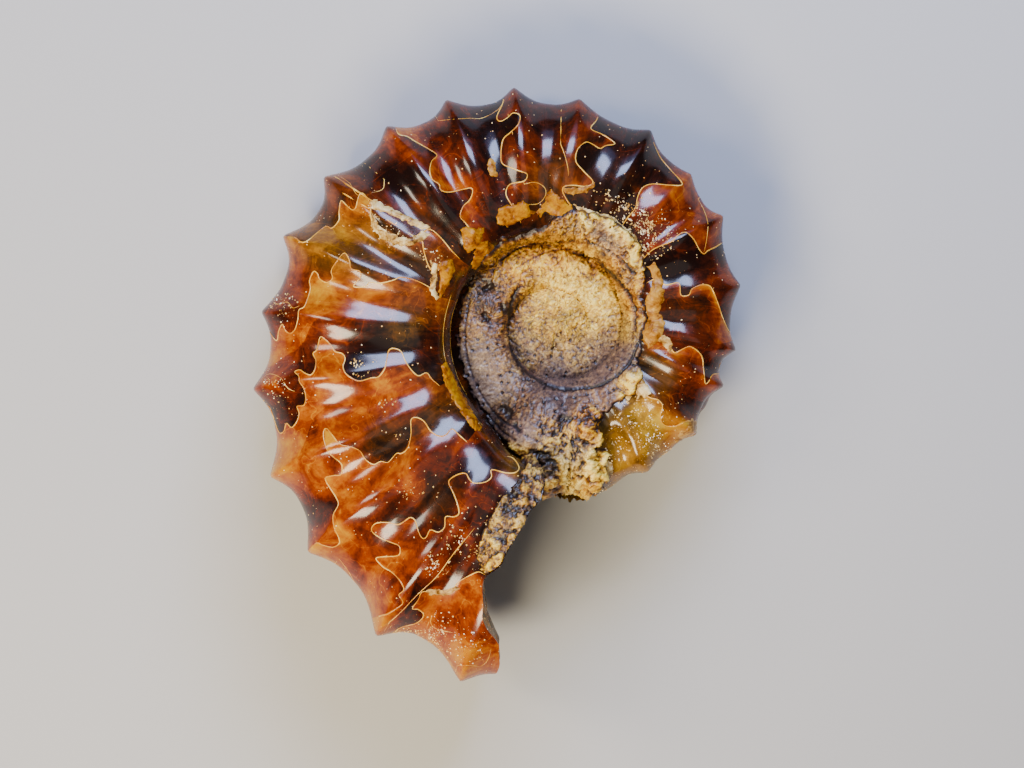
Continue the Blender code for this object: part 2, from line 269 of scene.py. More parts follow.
@lru_cache(maxsize=None)
def seam(angle, side):
    """The (radius, height) of the seam: a point on the whorl before, or the mound's edge on the first whorl."""
    if angle < LAST_ANGLE - (TURNS - 1) * TURN - 1e-6:
        height = tip_radius(angle) * HALF_BREADTH * along(MOUND_EDGE_HEIGHTS, angle)
        return tip_radius(angle) * MOUND_EDGE_RADIUS, height
    below = shell_point(angle - TURN, SEAT_PLACE, side)
    return math.hypot(below.x, below.y), abs(below.z)


def shell_point(angle, place, side):
    """The point of the finished surface at an angle and a place on the section, on the upper or lower side."""
    across, height, normal = section(angle, place, side)
    at = Vector((across * math.cos(angle), across * math.sin(angle), side * height))
    size = math.hypot(*normal)
    out = tip_radius(angle) * ribs(angle, place, side) + crust(angle, place, at)
    out += lumps(at) * smooth(place / LUMPS_FADE)
    out *= smooth((1 - place) / SEAM_FADE) / size
    return at + out * Vector((normal[0] * math.cos(angle), normal[0] * math.sin(angle), side * normal[1]))


print("height of the crest at 180 degrees, mm:", round(shell_point(math.pi, CREST_PLACE, 1).z / MM, 2))

# %% [markdown]
# ## The lying fossil
# The fossil lies on small worn flats on the ribs of its hidden flank. The lowest points of three of them set the
# level, so the coil's own frame is turned a little against the floor. Every piece is made in the coil's frame,
# where it is simple, and is turned into place at the end.

# %% The turn from the coil's frame to the floor's
REST_RIBS = (21, 14, 13)
REST_SEARCH = math.radians(7)
REST_STEPS = 8
REST_TRIES = 3
COIL_CENTRE = Vector((5.835, 5.791, 9.826)) * MM


def resting_turn():
    """The turn that brings the three resting tubercles to one level, found from their lowest points."""
    turn = Matrix.Identity(3)
    for _ in range(REST_TRIES):
        feet = []
        for rib in REST_RIBS:
            middle = phase_angle(rib) + RIB_LEAN
            near = [shell_point(middle + REST_SEARCH * i / REST_STEPS, CREST_PLACE * (1 + j / REST_STEPS / 2), -1)
                    for i in range(-REST_STEPS, REST_STEPS + 1) for j in range(-REST_STEPS, 1)]
            feet.append(min((turn @ point for point in near), key=lambda point: point.z))
        up = (feet[1] - feet[0]).cross(feet[2] - feet[0]).normalized()
        up = up if up.z > 0 else -up
        turn = up.rotation_difference(Vector((0, 0, 1))).to_matrix() @ turn
    return turn.to_4x4()


LAID = resting_turn()
TO_FLOOR = Matrix.Translation(COIL_CENTRE) @ LAID
print("the coil's axis leans by", round(math.degrees(math.acos(LAID[2][2])), 2), "degrees")

# %% [markdown]
# ## The camera and the light
# The picture is taken along the coil's axis with a long lens, so that the outline is hardly foreshortened. A broad
# cool light stands beyond the top of the picture and a broad warm one below it, which draws a bluish gleam on the
# top knobs and a warm one on the lower ribs. A faint sheen beyond the cool light, a small light at the left and a
# weak fill from above do the rest.

# %% The camera
VIEW_CENTRE = Vector((-4.35, -5.9, 0.0)) * MM
VIEW_WIDTH = 102.4 * MM
LENS_MM = 200.0
SENSOR_MM = 36.0

camera_data = bpy.data.cameras.new("camera")
camera_data.lens = LENS_MM
camera_data.sensor_width = SENSOR_MM
camera = bpy.data.objects.new("camera", camera_data)
bpy.context.scene.collection.objects.link(camera)
distance = VIEW_WIDTH * LENS_MM / SENSOR_MM
camera.matrix_world = TO_FLOOR @ Matrix.Translation(VIEW_CENTRE + Vector((0, 0, distance)))
bpy.context.scene.camera = camera
print("the camera is", round(distance, 3), "m away")

# %% The lights and the floor


def area_light(name, place_mm, aim_mm, size_mm, power, colour):
    """A rectangular soft light at a place in the coil's frame, aimed at another."""
    data = bpy.data.lights.new(name, "AREA")
    data.shape = "RECTANGLE"
    data.size, data.size_y = size_mm[0] * MM, size_mm[1] * MM
    data.energy = power
    data.color = colour
    thing = bpy.data.objects.new(name, data)
    bpy.context.scene.collection.objects.link(thing)
    place = TO_FLOOR @ (Vector(place_mm) * MM)
    aim = TO_FLOOR @ (Vector(aim_mm) * MM)
    thing.matrix_world = Matrix.Translation(place) @ (place - aim).to_track_quat("Z", "Y").to_matrix().to_4x4()


area_light("cool_light", (25, 150, 180), (0, 0, 5), (136, 84), 1.15, (0.52, 0.64, 1.0))
area_light("cool_sheen", (40, 205, 170), (0, 0, 5), (170, 130), 0.12, (0.40, 0.42, 1.0))
area_light("warm_light", (-95, -150, 175), (-8, -8, 5), (120, 66), 1.08, (1.0, 0.86, 0.60))
area_light("left_light", (-165, 30, 190), (-10, 0, 5), (44, 90), 0.30, (1.0, 0.88, 0.70))
area_light("soft_fill", (120, -60, 420), (0, 0, 0), (340, 340), 0.22, (1.0, 0.94, 0.86))
world = bpy.data.worlds.new("studio")
world.use_nodes = True
world.node_tree.nodes["Background"].inputs["Color"].default_value = (0.9, 0.92, 1.0, 1.0)
world.node_tree.nodes["Background"].inputs["Strength"].default_value = 0.07
bpy.context.scene.world = world

bpy.ops.mesh.primitive_plane_add(size=3.0, location=(0, 0, 0))
floor = bpy.context.object
floor.name = "floor"
floor_paint = bpy.data.materials.new("pale_floor")
floor_paint.use_nodes = True
floor_shader = floor_paint.node_tree.nodes["Principled BSDF"]
floor_shader.inputs["Base Color"].default_value = (0.42, 0.415, 0.41, 1.0)
floor_shader.inputs["Roughness"].default_value = 0.7
floor.data.materials.append(floor_paint)

# %% [markdown]
# ## The chamber walls
# Each chamber ended in a wall whose edge was folded like a leaf. Polished down, that edge is a fine cream line.
# The lines here were read off enlarged parts of the photograph, point by point from the outer edge inwards.
# Its pixels are tenths of a millimetre along the coil's axis. Both flanks of such a shell carry the same lines.

# %% The suture lines
PICTURE_CENTRE = (555.5, 325.0)
PICTURE_STEP = 0.1 * MM
SUTURES = (
    ((704, 419), (692, 421), (682, 421), (672, 426), (662, 424), (659, 415), (661, 406), (657, 400), (650, 398),
     (640, 394), (630, 392), (618, 388)),
    ((736, 346), (729, 356), (719, 364), (718, 373), (711, 375), (704, 384), (702, 370), (700, 356), (689, 347),
     (680, 350), (673, 353), (668, 346), (665, 339), (657, 337), (649, 340), (640, 340)),
    ((731, 334), (727, 330), (721, 317), (717, 306), (713, 296), (708, 287), (699, 286), (690, 290), (687, 296),
     (679, 296), (677, 284), (664, 286), (655, 280), (645, 284)),
    ((722, 243), (714, 248), (706, 252), (702, 255), (697, 250), (692, 241), (684, 234), (676, 237), (670, 243),
     (660, 247), (650, 252), (640, 262)),
    ((650, 138), (655, 150), (660, 160), (670, 172), (681, 186), (668, 187), (651, 186), (641, 190), (636, 200),
     (634, 210), (626, 220), (618, 232)),
    ((601, 108), (596, 122), (590, 131), (600, 136), (607, 140), (614, 146), (605, 148), (599, 151), (592, 147),
     (585, 145), (577, 152), (575, 164), (583, 174), (592, 184), (586, 189), (574, 188), (564, 189), (562, 194),
     (566, 202), (571, 210), (574, 222)),
    ((504, 92), (503, 105), (497, 119), (500, 124), (507, 121), (513, 116), (520, 119), (518, 128), (510, 136),
     (503, 143), (501, 159), (503, 167), (512, 171), (519, 174), (527, 177), (524, 184), (510, 187), (506, 196),
     (510, 205), (516, 214), (522, 228)),
    ((388, 120), (395, 128), (400, 137), (408, 139), (416, 144), (430, 152), (438, 158), (433, 164), (431, 173),
     (433, 182), (440, 187), (442, 193), (450, 195), (464, 192), (472, 191), (473, 196), (470, 203), (464, 209),
     (461, 219), (466, 225), (474, 236)),
    ((288, 238), (297, 239), (304, 244), (310, 243), (319, 235), (328, 228), (334, 230), (341, 222), (341, 214),
     (343, 203), (348, 207), (354, 212), (358, 210), (361, 198), (365, 196), (370, 202), (373, 208), (373, 217),
     (377, 228), (388, 238), (398, 243), (410, 244), (423, 236), (432, 232), (442, 240), (452, 252), (462, 262)),
    ((262, 322), (268, 326), (273, 335), (279, 341), (281, 332), (285, 325), (288, 331), (293, 334), (298, 330),
     (301, 320), (302, 311), (307, 308), (311, 298), (313, 289), (312, 282), (316, 273), (320, 275), (322, 280),
     (329, 284), (335, 280), (334, 272), (340, 263), (347, 255), (352, 262), (354, 271), (362, 273), (363, 279),
     (356, 288), (368, 288), (372, 284), (382, 285), (395, 282), (403, 279), (417, 282), (431, 289), (440, 298)),
    ((266, 402), (272, 408), (276, 420), (281, 432), (286, 431), (289, 423), (294, 427), (299, 422), (302, 413),
     (300, 406), (307, 405), (309, 397), (307, 388), (303, 382), (302, 376), (298, 372), (303, 370), (308, 373),
     (314, 375), (318, 370), (319, 361), (316, 354), (320, 350), (323, 338), (328, 340), (334, 346), (338, 352),
     (345, 354), (348, 359), (346, 367), (349, 374), (356, 379), (363, 381), (374, 378), (381, 377), (387, 369),
     (389, 360), (391, 351), (396, 349), (403, 352), (407, 361), (413, 370), (420, 376), (428, 373), (433, 379),
     (441, 386)),
    ((306, 553), (313, 546), (319, 541), (326, 543), (335, 545), (342, 541), (341, 534), (337, 525), (336, 513),
     (341, 503), (339, 496), (333, 487), (328, 477), (337, 474), (344, 473), (345, 465), (343, 461), (337, 456),
     (331, 450), (327, 438), (327, 430), (330, 428), (337, 436), (343, 443), (355, 446), (363, 450), (368, 458),
     (376, 463), (383, 460), (390, 461), (395, 456), (399, 452), (404, 452), (410, 446), (413, 432), (413, 419),
     (419, 417), (426, 421), (432, 430), (440, 435), (447, 434), (453, 428), (460, 434), (468, 441)),
    ((363, 622), (372, 617), (384, 612), (396, 606), (405, 599), (401, 591), (406, 586), (402, 577), (394, 569),
     (385, 564), (378, 556), (385, 554), (398, 553), (402, 550), (401, 543), (394, 540), (382, 535), (374, 528),
     (378, 521), (390, 520), (400, 522), (406, 519), (412, 515), (417, 518), (420, 528), (424, 535), (428, 534),
     (432, 527), (440, 529), (446, 524), (447, 514), (455, 514), (460, 511), (459, 503), (455, 492), (450, 481),
     (453, 476), (461, 472), (467, 472), (470, 477), (475, 481), (486, 480), (492, 475), (492, 468), (505, 471),
     (515, 471), (519, 466), (513, 457), (506, 455)),
    ((388, 636), (396, 628), (404, 624), (418, 620), (425, 612), (420, 606), (414, 605), (420, 596), (424, 588),
     (434, 589), (445, 590), (453, 586), (460, 578), (470, 572), (480, 568), (490, 572), (506, 564), (518, 545)),
)
# How bright (or, below 0, how dark) the calcite is painted just after each line and just before it, and how far in
# mm: partly the chamber wall seen through the calcite, and partly painted light and painted shade, brighter on the
# side of each wall that the lamps reach.
LINE_GLOW_AND_SHADE = (
    (-0.15, 1.5, 0.35, 1.2), (-0.15, 2.0, 0.50, 0.9), (-0.15, 1.5, 0.50, 1.0), (0.25, 2.0, -0.20, 1.5),
    (-0.20, 1.5, 0.25, 2.5), (0.35, 0.8, -0.10, 2.0), (-0.15, 1.5, 0.15, 2.0), (-0.10, 1.5, 0.40, 1.5),
    (0.35, 1.0, -0.15, 1.5), (0.30, 1.2, -0.05, 1.5), (0.25, 1.5, -0.35, 2.5), (0.25, 1.2, -0.20, 1.5),
    (0.15, 0.8, -0.15, 1.5), (0.35, 0.8, -0.20, 1.5),
)
CURVE_STEPS = 4


def from_picture(point):
    """A point of the picture, in metres in the coil's frame."""
    return np.array([point[0] - PICTURE_CENTRE[0], PICTURE_CENTRE[1] - point[1]]) * PICTURE_STEP


def eased_curve(points, steps=CURVE_STEPS):
    """A smooth curve through all points, by Catmull and Rom's rule."""
    points = np.array([from_picture(p) for p in points])
    whole = np.vstack([2 * points[0] - points[1], points, 2 * points[-1] - points[-2]])
    curve = []
    for k in range(1, len(whole) - 2):
        a, b, c, d = whole[k - 1:k + 3]
        for step in range(steps):
            t = step / steps
            curve.append(0.5 * (2 * b + (c - a) * t + (2 * a - 5 * b + 4 * c - d) * t ** 2
                                + (3 * b - a - 3 * c + d) * t ** 3))
    return np.array(curve + [points[-1]])


curves = [eased_curve(line) for line in SUTURES]
print("suture lines:", len(curves), "with", sum(len(c) for c in curves), "points")

# %% [markdown]
# ## Which chamber a point is in
# The colour changes sharply at each line, so every point of the surface gets a chamber number: whole on a line and
# growing evenly to the next. A material can then tell the two sides of a line apart however coarse the mesh is.

# %% Chamber numbers and distances
FAR = 60 * MM
REACH_DEGREES = 75
ARC_SPAN = 2.4
ARC_POINTS = 9


def unwound(points):
    """The angles of points in the coil's frame, along the last whorl."""
    angles = np.arctan2(points[:, 1], points[:, 0])
    return np.where(angles < LAST_ANGLE - TURN, angles + TURN, angles)


def inside(polygon, points):
    """Which of the points are inside a polygon."""
    result = np.zeros(len(points), bool)
    previous = polygon[-1]
    for corner in polygon:
        crosses = (corner[1] > points[:, 1]) != (previous[1] > points[:, 1])
        with np.errstate(divide="ignore", invalid="ignore"):
            at = (previous[0] - corner[0]) * (points[:, 1] - corner[1]) / (previous[1] - corner[1]) + corner[0]
        result ^= crosses & (points[:, 0] < at)
        previous = corner
    return result


def distance_to(curve, points):
    """The distance of each point from a curve of straight steps."""
    nearest = np.full(len(points), np.inf)
    for a, b in zip(curve[:-1], curve[1:]):
        run = b - a
        share = np.clip(((points - a) @ run) / (run @ run), 0, 1)
        nearest = np.minimum(nearest, ((points - a - share[:, None] * run) ** 2).sum(1))
    return np.sqrt(nearest)


def chamber_fields(points):
    """For each point: its chamber number, and the painted light and shade after and before the nearest line."""
    angles = unwound(points)
    after = np.zeros((len(curves), len(points)), bool)
    gap = np.full((len(curves), len(points)), FAR)
    for k, curve in enumerate(curves):
        middle = unwound(curve.mean(0)[None])[0]
        off = np.degrees(angles - middle)
        after[k] = off > REACH_DEGREES
        near = np.abs(off) <= REACH_DEGREES
        outer, inner = curve[0], curve[-1]
        start = math.atan2(outer[1], outer[0])
        turns = start + np.linspace(0, ARC_SPAN, ARC_POINTS)
        arc = [FAR * np.array([math.cos(turn), math.sin(turn)]) for turn in turns]
        beyond = outer * (FAR / np.hypot(*outer))
        polygon = [np.zeros(2)] + list(curve[::-1]) + [beyond] + arc
        after[k, near] = inside(polygon, points[near])
        gap[k, near] = distance_to(np.vstack([inner * 0.0, curve[::-1], beyond]), points[near])
    count = after.sum(0)
    rows = np.arange(len(points))
    before = np.where(count > 0, gap[np.maximum(count - 1, 0), rows], FAR / 10)
    ahead = np.where(count < len(curves), gap[np.minimum(count, len(curves) - 1), rows], FAR / 10)
    number = count + before / (before + ahead + 1e-9)
    glows = np.array(LINE_GLOW_AND_SHADE)
    nearest = np.clip(np.where(before < ahead, count - 1, count), 0, len(curves) - 1)
    gone = np.minimum(before, ahead) / MM
    fore = glows[nearest, 0] * np.exp(-gone / glows[nearest, 1])
    aft = glows[nearest, 2] * np.exp(-gone / glows[nearest, 3])
    return number, fore, aft


number, fore, aft = chamber_fields(np.array([[-0.02, 0.0], [0.015, 0.0]]))
print("chambers at two places:", number.round(2))

# %% [markdown]
# ## Light and dark in the calcite
# Where the calcite is thick or iron-rich it is nearly black, and thin, cloudy or clean parts are orange or honey
# coloured. The tones below say how bright it is at places of the flank, from 0 for black to 1 for yellow-orange,
# and how cloudy, in tenths. They were typed by hand. They were first placed by eye, and most were then corrected by
# hand with median colours of the photograph and of renders in view, measured at 28 of these places.

# %% The tones, at x and y in the picture
# Part of the orange and honey in these tones is painted light: the glow of light through thin calcite.
TONES = (
    (280, 320, 0.30, 0), (290, 288, 0.50, 0), (330, 250, 0.46, 6), (375, 250, 0.34, 6), (412, 265, 0.18, 3),
    (322, 300, 0.62, 1), (380, 305, 0.64, 1), (422, 300, 0.38, 2), (278, 365, 0.66, 0), (300, 395, 0.52, 0),
    # The cloud of 7 at (405, 328) is a painted highlight.
    (288, 418, 0.34, 0), (330, 325, 0.56, 0), (340, 355, 0.68, 0), (372, 340, 0.26, 0), (405, 328, 0.34, 7),
    (432, 345, 0.18, 0), (362, 366, 0.05, 0), (330, 390, 0.68, 0), (375, 398, 0.60, 0), (412, 398, 0.50, 0),
    (440, 382, 0.26, 2), (292, 450, 0.86, 0), (322, 470, 0.72, 0), (350, 420, 0.70, 0), (392, 436, 0.24, 3),
    (440, 412, 0.22, 4), (318, 515, 0.22, 0), (330, 536, 0.74, 0), (365, 485, 0.60, 0), (400, 480, 0.50, 0),
    (435, 460, 0.36, 0), (440, 495, 0.14, 2), (400, 508, 0.28, 0), (470, 452, 0.20, 0), (350, 556, 0.66, 0),
    (382, 600, 0.78, 0), (420, 560, 0.50, 0), (445, 538, 0.34, 0), (468, 515, 0.44, 0), (490, 490, 0.22, 0),
    (412, 592, 0.30, 0), (442, 602, 0.56, 0), (462, 645, 0.74, 0), (490, 620, 0.56, 0), (330, 182, 0.38, 2),
    (352, 192, 0.52, 2), (372, 168, 0.16, 0), (390, 138, 0.42, 0), (412, 152, 0.50, 0), (400, 182, 0.08, 0),
    (442, 205, 0.18, 0), (420, 225, 0.44, 2), (450, 160, 0.14, 0), (446, 182, 0.44, 0), (482, 158, 0.10, 0),
    (500, 118, 0.12, 0), (520, 155, 0.28, 0), (490, 195, 0.16, 0), (545, 145, 0.12, 0), (550, 175, 0.28, 3),
    (590, 160, 0.12, 1), (620, 182, 0.14, 1), (642, 160, 0.08, 0), (600, 120, 0.14, 0), (560, 106, 0.16, 0),
    (440, 130, 0.14, 0), (668, 210, 0.44, 0), (692, 215, 0.40, 0), (712, 238, 0.30, 0), (680, 262, 0.05, 0),
    (722, 285, 0.34, 0), (690, 312, 0.08, 1), (722, 320, 0.34, 0), (680, 345, 0.40, 0), (690, 368, 0.34, 0),
    (682, 395, 0.20, 0), (722, 372, 0.34, 0), (662, 376, 0.30, 6), (650, 430, 0.66, 9), (628, 415, 0.52, 9),
    (640, 455, 0.64, 8), (676, 432, 0.74, 3), (580, 470, 0.60, 8), (530, 470, 0.45, 8),
)
TONE_REACH = 14 * PICTURE_STEP
BLEND_FALL = 2.5


def blended(points, table, reach):
    """The columns of a table after x and y, blended smoothly between its places."""
    weight, total = 0.0, 0.0
    for x, y, *values in table:
        off = ((points - from_picture((x, y))) ** 2).sum(1) / reach ** 2
        share = 1 / (1 + off) ** BLEND_FALL
        weight, total = weight + share, total + share[:, None] * np.array(values, float)
    return total / weight[:, None]


def tone_fields(points):
    """How bright and how cloudy the calcite is at each point, blended from the places listed."""
    tone, haze = blended(points, TONES, TONE_REACH).T
    return tone, haze / 10


print("tone and cloud at the left:", [v.round(2) for v in tone_fields(np.array([[-0.02, 0.0]]))])

# %% [markdown]
# ## The calcite body
# The body is one closed skin, as the real piece is one stone: the last whorl, what shows of the whorl before it,
# the middle, and the broken end. Rings are closer together where the coil is small, so all faces are alike.

# %% A skin is put together from corners and faces
BREAK_EDGE = ((0.0, -1.5), (0.20, -0.4), (0.28, -1.0), (0.39, -5.4), (0.46, -6.9), (0.52, -3.6), (0.62, 0.5),
              (0.71, 4.0), (0.80, 5.0), (1.0, 0.0))
BREAK_REACH = math.radians(24)


def edge_angle(angle, place):
    """An angle near the broken end, moved so that the last one follows the ragged edge."""
    return angle + math.radians(along(BREAK_EDGE, place)) * smooth((angle - LAST_ANGLE + BREAK_REACH) / BREAK_REACH)


class Skin:
    """The corners and faces of a mesh while it is put together."""

    def __init__(self):
        self.corners, self.faces = [], []

    def corner(self, point):
        self.corners.append(tuple(point))
        return len(self.corners) - 1

    def mesh(self, name):
        """The skin as a mesh."""
        data = bpy.data.meshes.new(name)
        data.from_pydata(self.corners, [], self.faces)
        return data

    def sheet(self, rows):
        """Faces between rows of as many corners each."""
        for row, other in zip(rows, rows[1:]):
            for k in range(len(row) - 1):
                self.faces.append((row[k], other[k], other[k + 1], row[k + 1]))

    def band(self, row, other):
        """Triangles between two rows of different numbers of corners."""
        i, j = 0, 0
        while i < len(row) - 1 or j < len(other) - 1:
            if j == len(other) - 1 or (i < len(row) - 1 and (i + 1) * (len(other) - 1) <= (j + 1) * (len(row) - 1)):
                corners = (row[i], row[i + 1], other[j])
                i += 1
            else:
                corners = (row[i], other[j + 1], other[j])
                j += 1
            if len(set(corners)) == 3:
                self.faces.append(corners)


def spread(low, high, steps):
    """Even places from low up to just before high."""
    return [low + (high - low) * k / steps for k in range(steps)]


print("the break stands", along(BREAK_EDGE, 0.8), "degrees forward near the seam")

# %% The whorls
RINGS = 640
SEAT_ROWS = 23
FLANK_ROWS = 17
WALL_ROWS = 20
INNER_ROWS = 8
PLACES = spread(0, SEAT_PLACE, SEAT_ROWS) + spread(SEAT_PLACE, CREST_PLACE, FLANK_ROWS)
PLACES += spread(CREST_PLACE, 1, WALL_ROWS) + [1.0]
INNER_PLACES = spread(SEAT_PLACE, 1, INNER_ROWS) + [1.0]
GROWN = math.exp(LATE_GROWTH * TURN) - 1
ANGLES = [LAST_ANGLE - TURN + math.log(1 + GROWN * i / RINGS) / LATE_GROWTH for i in range(RINGS + 1)]


def whorl_rows(skin, side, venter):
    """The rows of corners of the last whorl and of the one before it, on one side."""
    inner = [[skin.corner(shell_point(a - TURN, p, side)) for p in INNER_PLACES] for a in ANGLES[:-1]]
    last = []
    for i, angle in enumerate(ANGLES):
        row = [venter[i]] if venter else [skin.corner(shell_point(edge_angle(angle, 0), 0, side))]
        row += [skin.corner(shell_point(edge_angle(angle, p), p, side)) for p in PLACES[1:-1]]
        row.append(inner[i][0] if i < RINGS else last[0][SEAT_ROWS])
        last.append(row)
    return inner, last


print("rings:", RINGS, "rows on each side:", len(PLACES))

# %% The middle and the broken end
MIDDLE_ROWS = 4
BREAK_HOLLOW = math.radians(6.5)
BREAK_FLUTE = math.radians(3)
BREAK_FLUTES = 4
BREAK_ROWS = 24
BREAK_ROUGHNESS = math.radians(1.3)
BREAK_GRAIN = 1.7 * MM


def close_middle(skin, rim, side):
    """The mound inside a rim of corners."""
    centre = Vector((0.0, 0.0, side * MOUND_HEIGHT))
    row = rim
    for step in range(1, MIDDLE_ROWS):
        share = step / MIDDLE_ROWS
        inner = []
        for corner in rim:
            at = Vector(skin.corners[corner]).lerp(centre, share)
            at.z = skin.corners[corner][2] + (centre.z - skin.corners[corner][2]) * math.sin(math.pi / 2 * share)
            inner.append(skin.corner(at))
        skin.sheet([row + row[:1], inner + inner[:1]])
        row = inner
    middle = skin.corner(centre)
    for k in range(len(row)):
        skin.faces.append((row[k - 1], row[k], middle))


def close_break(skin, outer, inner):
    """The face of the broken end, hollowed and fluted like a chamber wall, and a little rough."""
    row, count = outer, len(outer)
    for step in range(1, BREAK_ROWS):
        share = step / BREAK_ROWS
        next_row = [outer[0]]
        for k in range(1, count - 1):
            run = k / (count - 1) * (len(inner) - 1)
            low = min(int(run), len(inner) - 2)
            foot = Vector(skin.corners[inner[low]]).lerp(Vector(skin.corners[inner[low + 1]]), run - low)
            at = Vector(skin.corners[outer[k]]).lerp(foot, share)
            back = BREAK_HOLLOW + BREAK_FLUTE * (0.5 + 0.5 * math.cos(TURN * BREAK_FLUTES * k / (count - 1)))
            back *= math.sin(math.pi * share) * math.sqrt(math.sin(math.pi * k / (count - 1)))
            back += BREAK_ROUGHNESS * noise.noise(at / BREAK_GRAIN) * math.sin(math.pi * share)
            next_row.append(skin.corner(Matrix.Rotation(-back, 3, "Z") @ at))
        next_row.append(outer[-1])
        skin.band(row, next_row)
        row = next_row
    skin.band(row, inner)


def body_skin():
    """The closed skin of the whole fossil, in the coil's frame."""
    skin, venter, sides = Skin(), None, {}
    for side in (1, -1):
        inner, last = whorl_rows(skin, side, venter)
        venter = [row[0] for row in last]
        sides[side] = last
        skin.sheet(last)
        skin.sheet(inner)
        skin.band(inner[-1], last[0][SEAT_ROWS:])
        close_middle(skin, inner[0][:-1] + [row[-1] for row in inner], side)
    outer = sides[1][-1][::-1] + sides[-1][-1][1:]
    start = sides[1][0][SEAT_ROWS::-1] + sides[-1][0][1:SEAT_ROWS + 1]
    whole = len(skin.corners)
    close_break(skin, outer, start)
    return skin, whole


skin, break_start = body_skin()
print("body corners:", len(skin.corners), "faces:", len(skin.faces), "corners of the broken end:",
      len(skin.corners) - break_start)

# %% [markdown]
# Faces that were listed from both sides don't all point outwards, so the normals are worked out again on the
# closed skin. A tree of its faces then answers where any straight line meets the body, which is how the other
# pieces find the surface that they lie on.

# %% The body as a mesh


def store(data, name, values):
    """Keeps one number for each corner of a mesh, for its material to read."""
    data.attributes.new(name, "FLOAT", "POINT").data.foreach_set("value", np.asarray(values, np.float32))


def corners_of(data):
    """The corners of a mesh as rows of x, y and z."""
    flat = np.zeros(len(data.vertices) * 3, np.float32)
    data.vertices.foreach_get("co", flat)
    return flat.reshape(-1, 3).astype(float)


def piece(name, data, material, lowest=0.0):
    """A finished piece: its mesh turned into place, worn flat at its lowest height, and riding on the fossil."""
    data.transform(TO_FLOOR)
    worn = corners_of(data)
    worn[:, 2] = np.maximum(worn[:, 2], lowest)
    data.vertices.foreach_set("co", worn.astype(np.float32).ravel())
    data.update()
    data.materials.clear()
    data.materials.append(material)
    thing = bpy.data.objects.new(name, data)
    bpy.context.scene.collection.objects.link(thing)
    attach(thing, "root")
    return thing


def mesh_from(skin, name):
    """A closed, smooth mesh with its faces turned outwards."""
    data = skin.mesh(name)
    mesh = bmesh.new()
    mesh.from_mesh(data)
    bmesh.ops.recalc_face_normals(mesh, faces=mesh.faces)
    mesh.to_mesh(data)
    open_edges = sum(1 for edge in mesh.edges if not edge.is_manifold)
    triangles = sum(len(face.verts) - 2 for face in mesh.faces)
    tree = BVHTree.FromBMesh(mesh)
    mesh.free()
    data.shade_smooth()
    print(name, "has", triangles, "triangles and", open_edges, "open edges")
    return data, tree


# The umbilicus, in tenths of a millimetre of the picture: a crust fills it, and the stone at its rim gets painted
# shade.
CRUST_OUTLINE = (
    (644, 262), (640, 250), (632, 240), (622, 229), (610, 222), (597, 217), (584, 212), (572, 212),
    (556, 218), (540, 230), (520, 236), (503, 240), (490, 252), (478, 266), (470, 280), (464, 296), (460, 314),
    (458, 335), (460, 360), (466, 380), (476, 400), (487, 418), (499, 434), (510, 446), (520, 454), (524, 464),
    (520, 476), (510, 490), (500, 500), (490, 515), (482, 530), (478, 548), (480, 562), (492, 574), (508, 568),
    (519, 548), (518, 532), (527, 515), (540, 501), (560, 497), (575, 499), (590, 497), (600, 487), (606, 472),
    (606, 458), (598, 444), (596, 428), (604, 414), (618, 402), (634, 394), (640, 380), (636, 362), (640, 345),
    (644, 320), (642, 300), (644, 280),
)
WALL_SHADE = 1.1 * MM
WALL_TONE = 0.25
WALL_SHADE_POWER = 1.5
PAINTED_RIM_LIGHT = 0.14
RIM_FROM = 0.93
BREAK_TONE = 0.46
BREAK_VARIETY = 0.5
BREAK_HAZE = 0.55
BREAK_PATCH = 1.6 * MM
STREAKS_PER_RADIAN = 26
STREAK_LENGTH = 6 * MM
UNDER_STREAKS = 50.0
SHARP_EDGE = math.radians(50)

body_mesh, body_tree = mesh_from(skin, "calcite_body")
spots = corners_of(body_mesh)[:, :2]
number, fore, aft = chamber_fields(spots)
tone, haze = tone_fields(spots)
rim = np.array([from_picture(p) for p in CRUST_OUTLINE])
gap = np.where(inside(rim, spots), 0.0, distance_to(np.vstack([rim, rim[:1]]), spots))
# Painted shade: the calcite darkens towards the crust's outline, and the lines' light and shade fade there.
lit = np.clip(gap / WALL_SHADE, 0.0, 1.0) ** WALL_SHADE_POWER
tone, fore, aft = tone * (WALL_TONE + (1 - WALL_TONE) * lit), fore * lit, aft * lit
tips = np.array([tip_radius(angle) for angle in unwound(spots)])
# Painted light: towards the outer edge the calcite is painted brighter, as the thin rib tips glow.
tone += PAINTED_RIM_LIGHT * np.clip((np.hypot(*spots.T) / tips - RIM_FROM) / (1 - RIM_FROM), 0.0, 1.0)
spots = corners_of(body_mesh)
patches = [noise.fractal(Vector(spot) / BREAK_PATCH, 0.7, 2.0, 3) for spot in spots[break_start:]]
tone[break_start:] = BREAK_TONE + BREAK_VARIETY * np.array(patches)
haze[break_start:], fore[break_start:], aft[break_start:] = BREAK_HAZE, 0.0, 0.0
for key, values in (("chamber", number), ("fore", fore), ("aft", aft), ("tone", tone), ("haze", haze)):
    store(body_mesh, key, values)
flow = np.column_stack([unwound(spots) * STREAKS_PER_RADIAN, np.hypot(spots[:, 0], spots[:, 1]) / STREAK_LENGTH,
                        np.where(spots[:, 2] > 0, 0.0, UNDER_STREAKS)])
body_mesh.attributes.new("flow", "FLOAT_VECTOR", "POINT").data.foreach_set("vector", flow.ravel())
body_mesh.set_sharp_from_angle(angle=SHARP_EDGE)

# %% [markdown]
# ## The calcite
# This calcite is dense and dark, and nothing is seen through it, so its glow is in its colour: one brightness, from
# black through red-brown and orange to honey, which streaks along the ribs, fine veins and noise break up. The
# polish is two glosses, a silky one below and a sharp clear coat on it.

# %% Node helpers


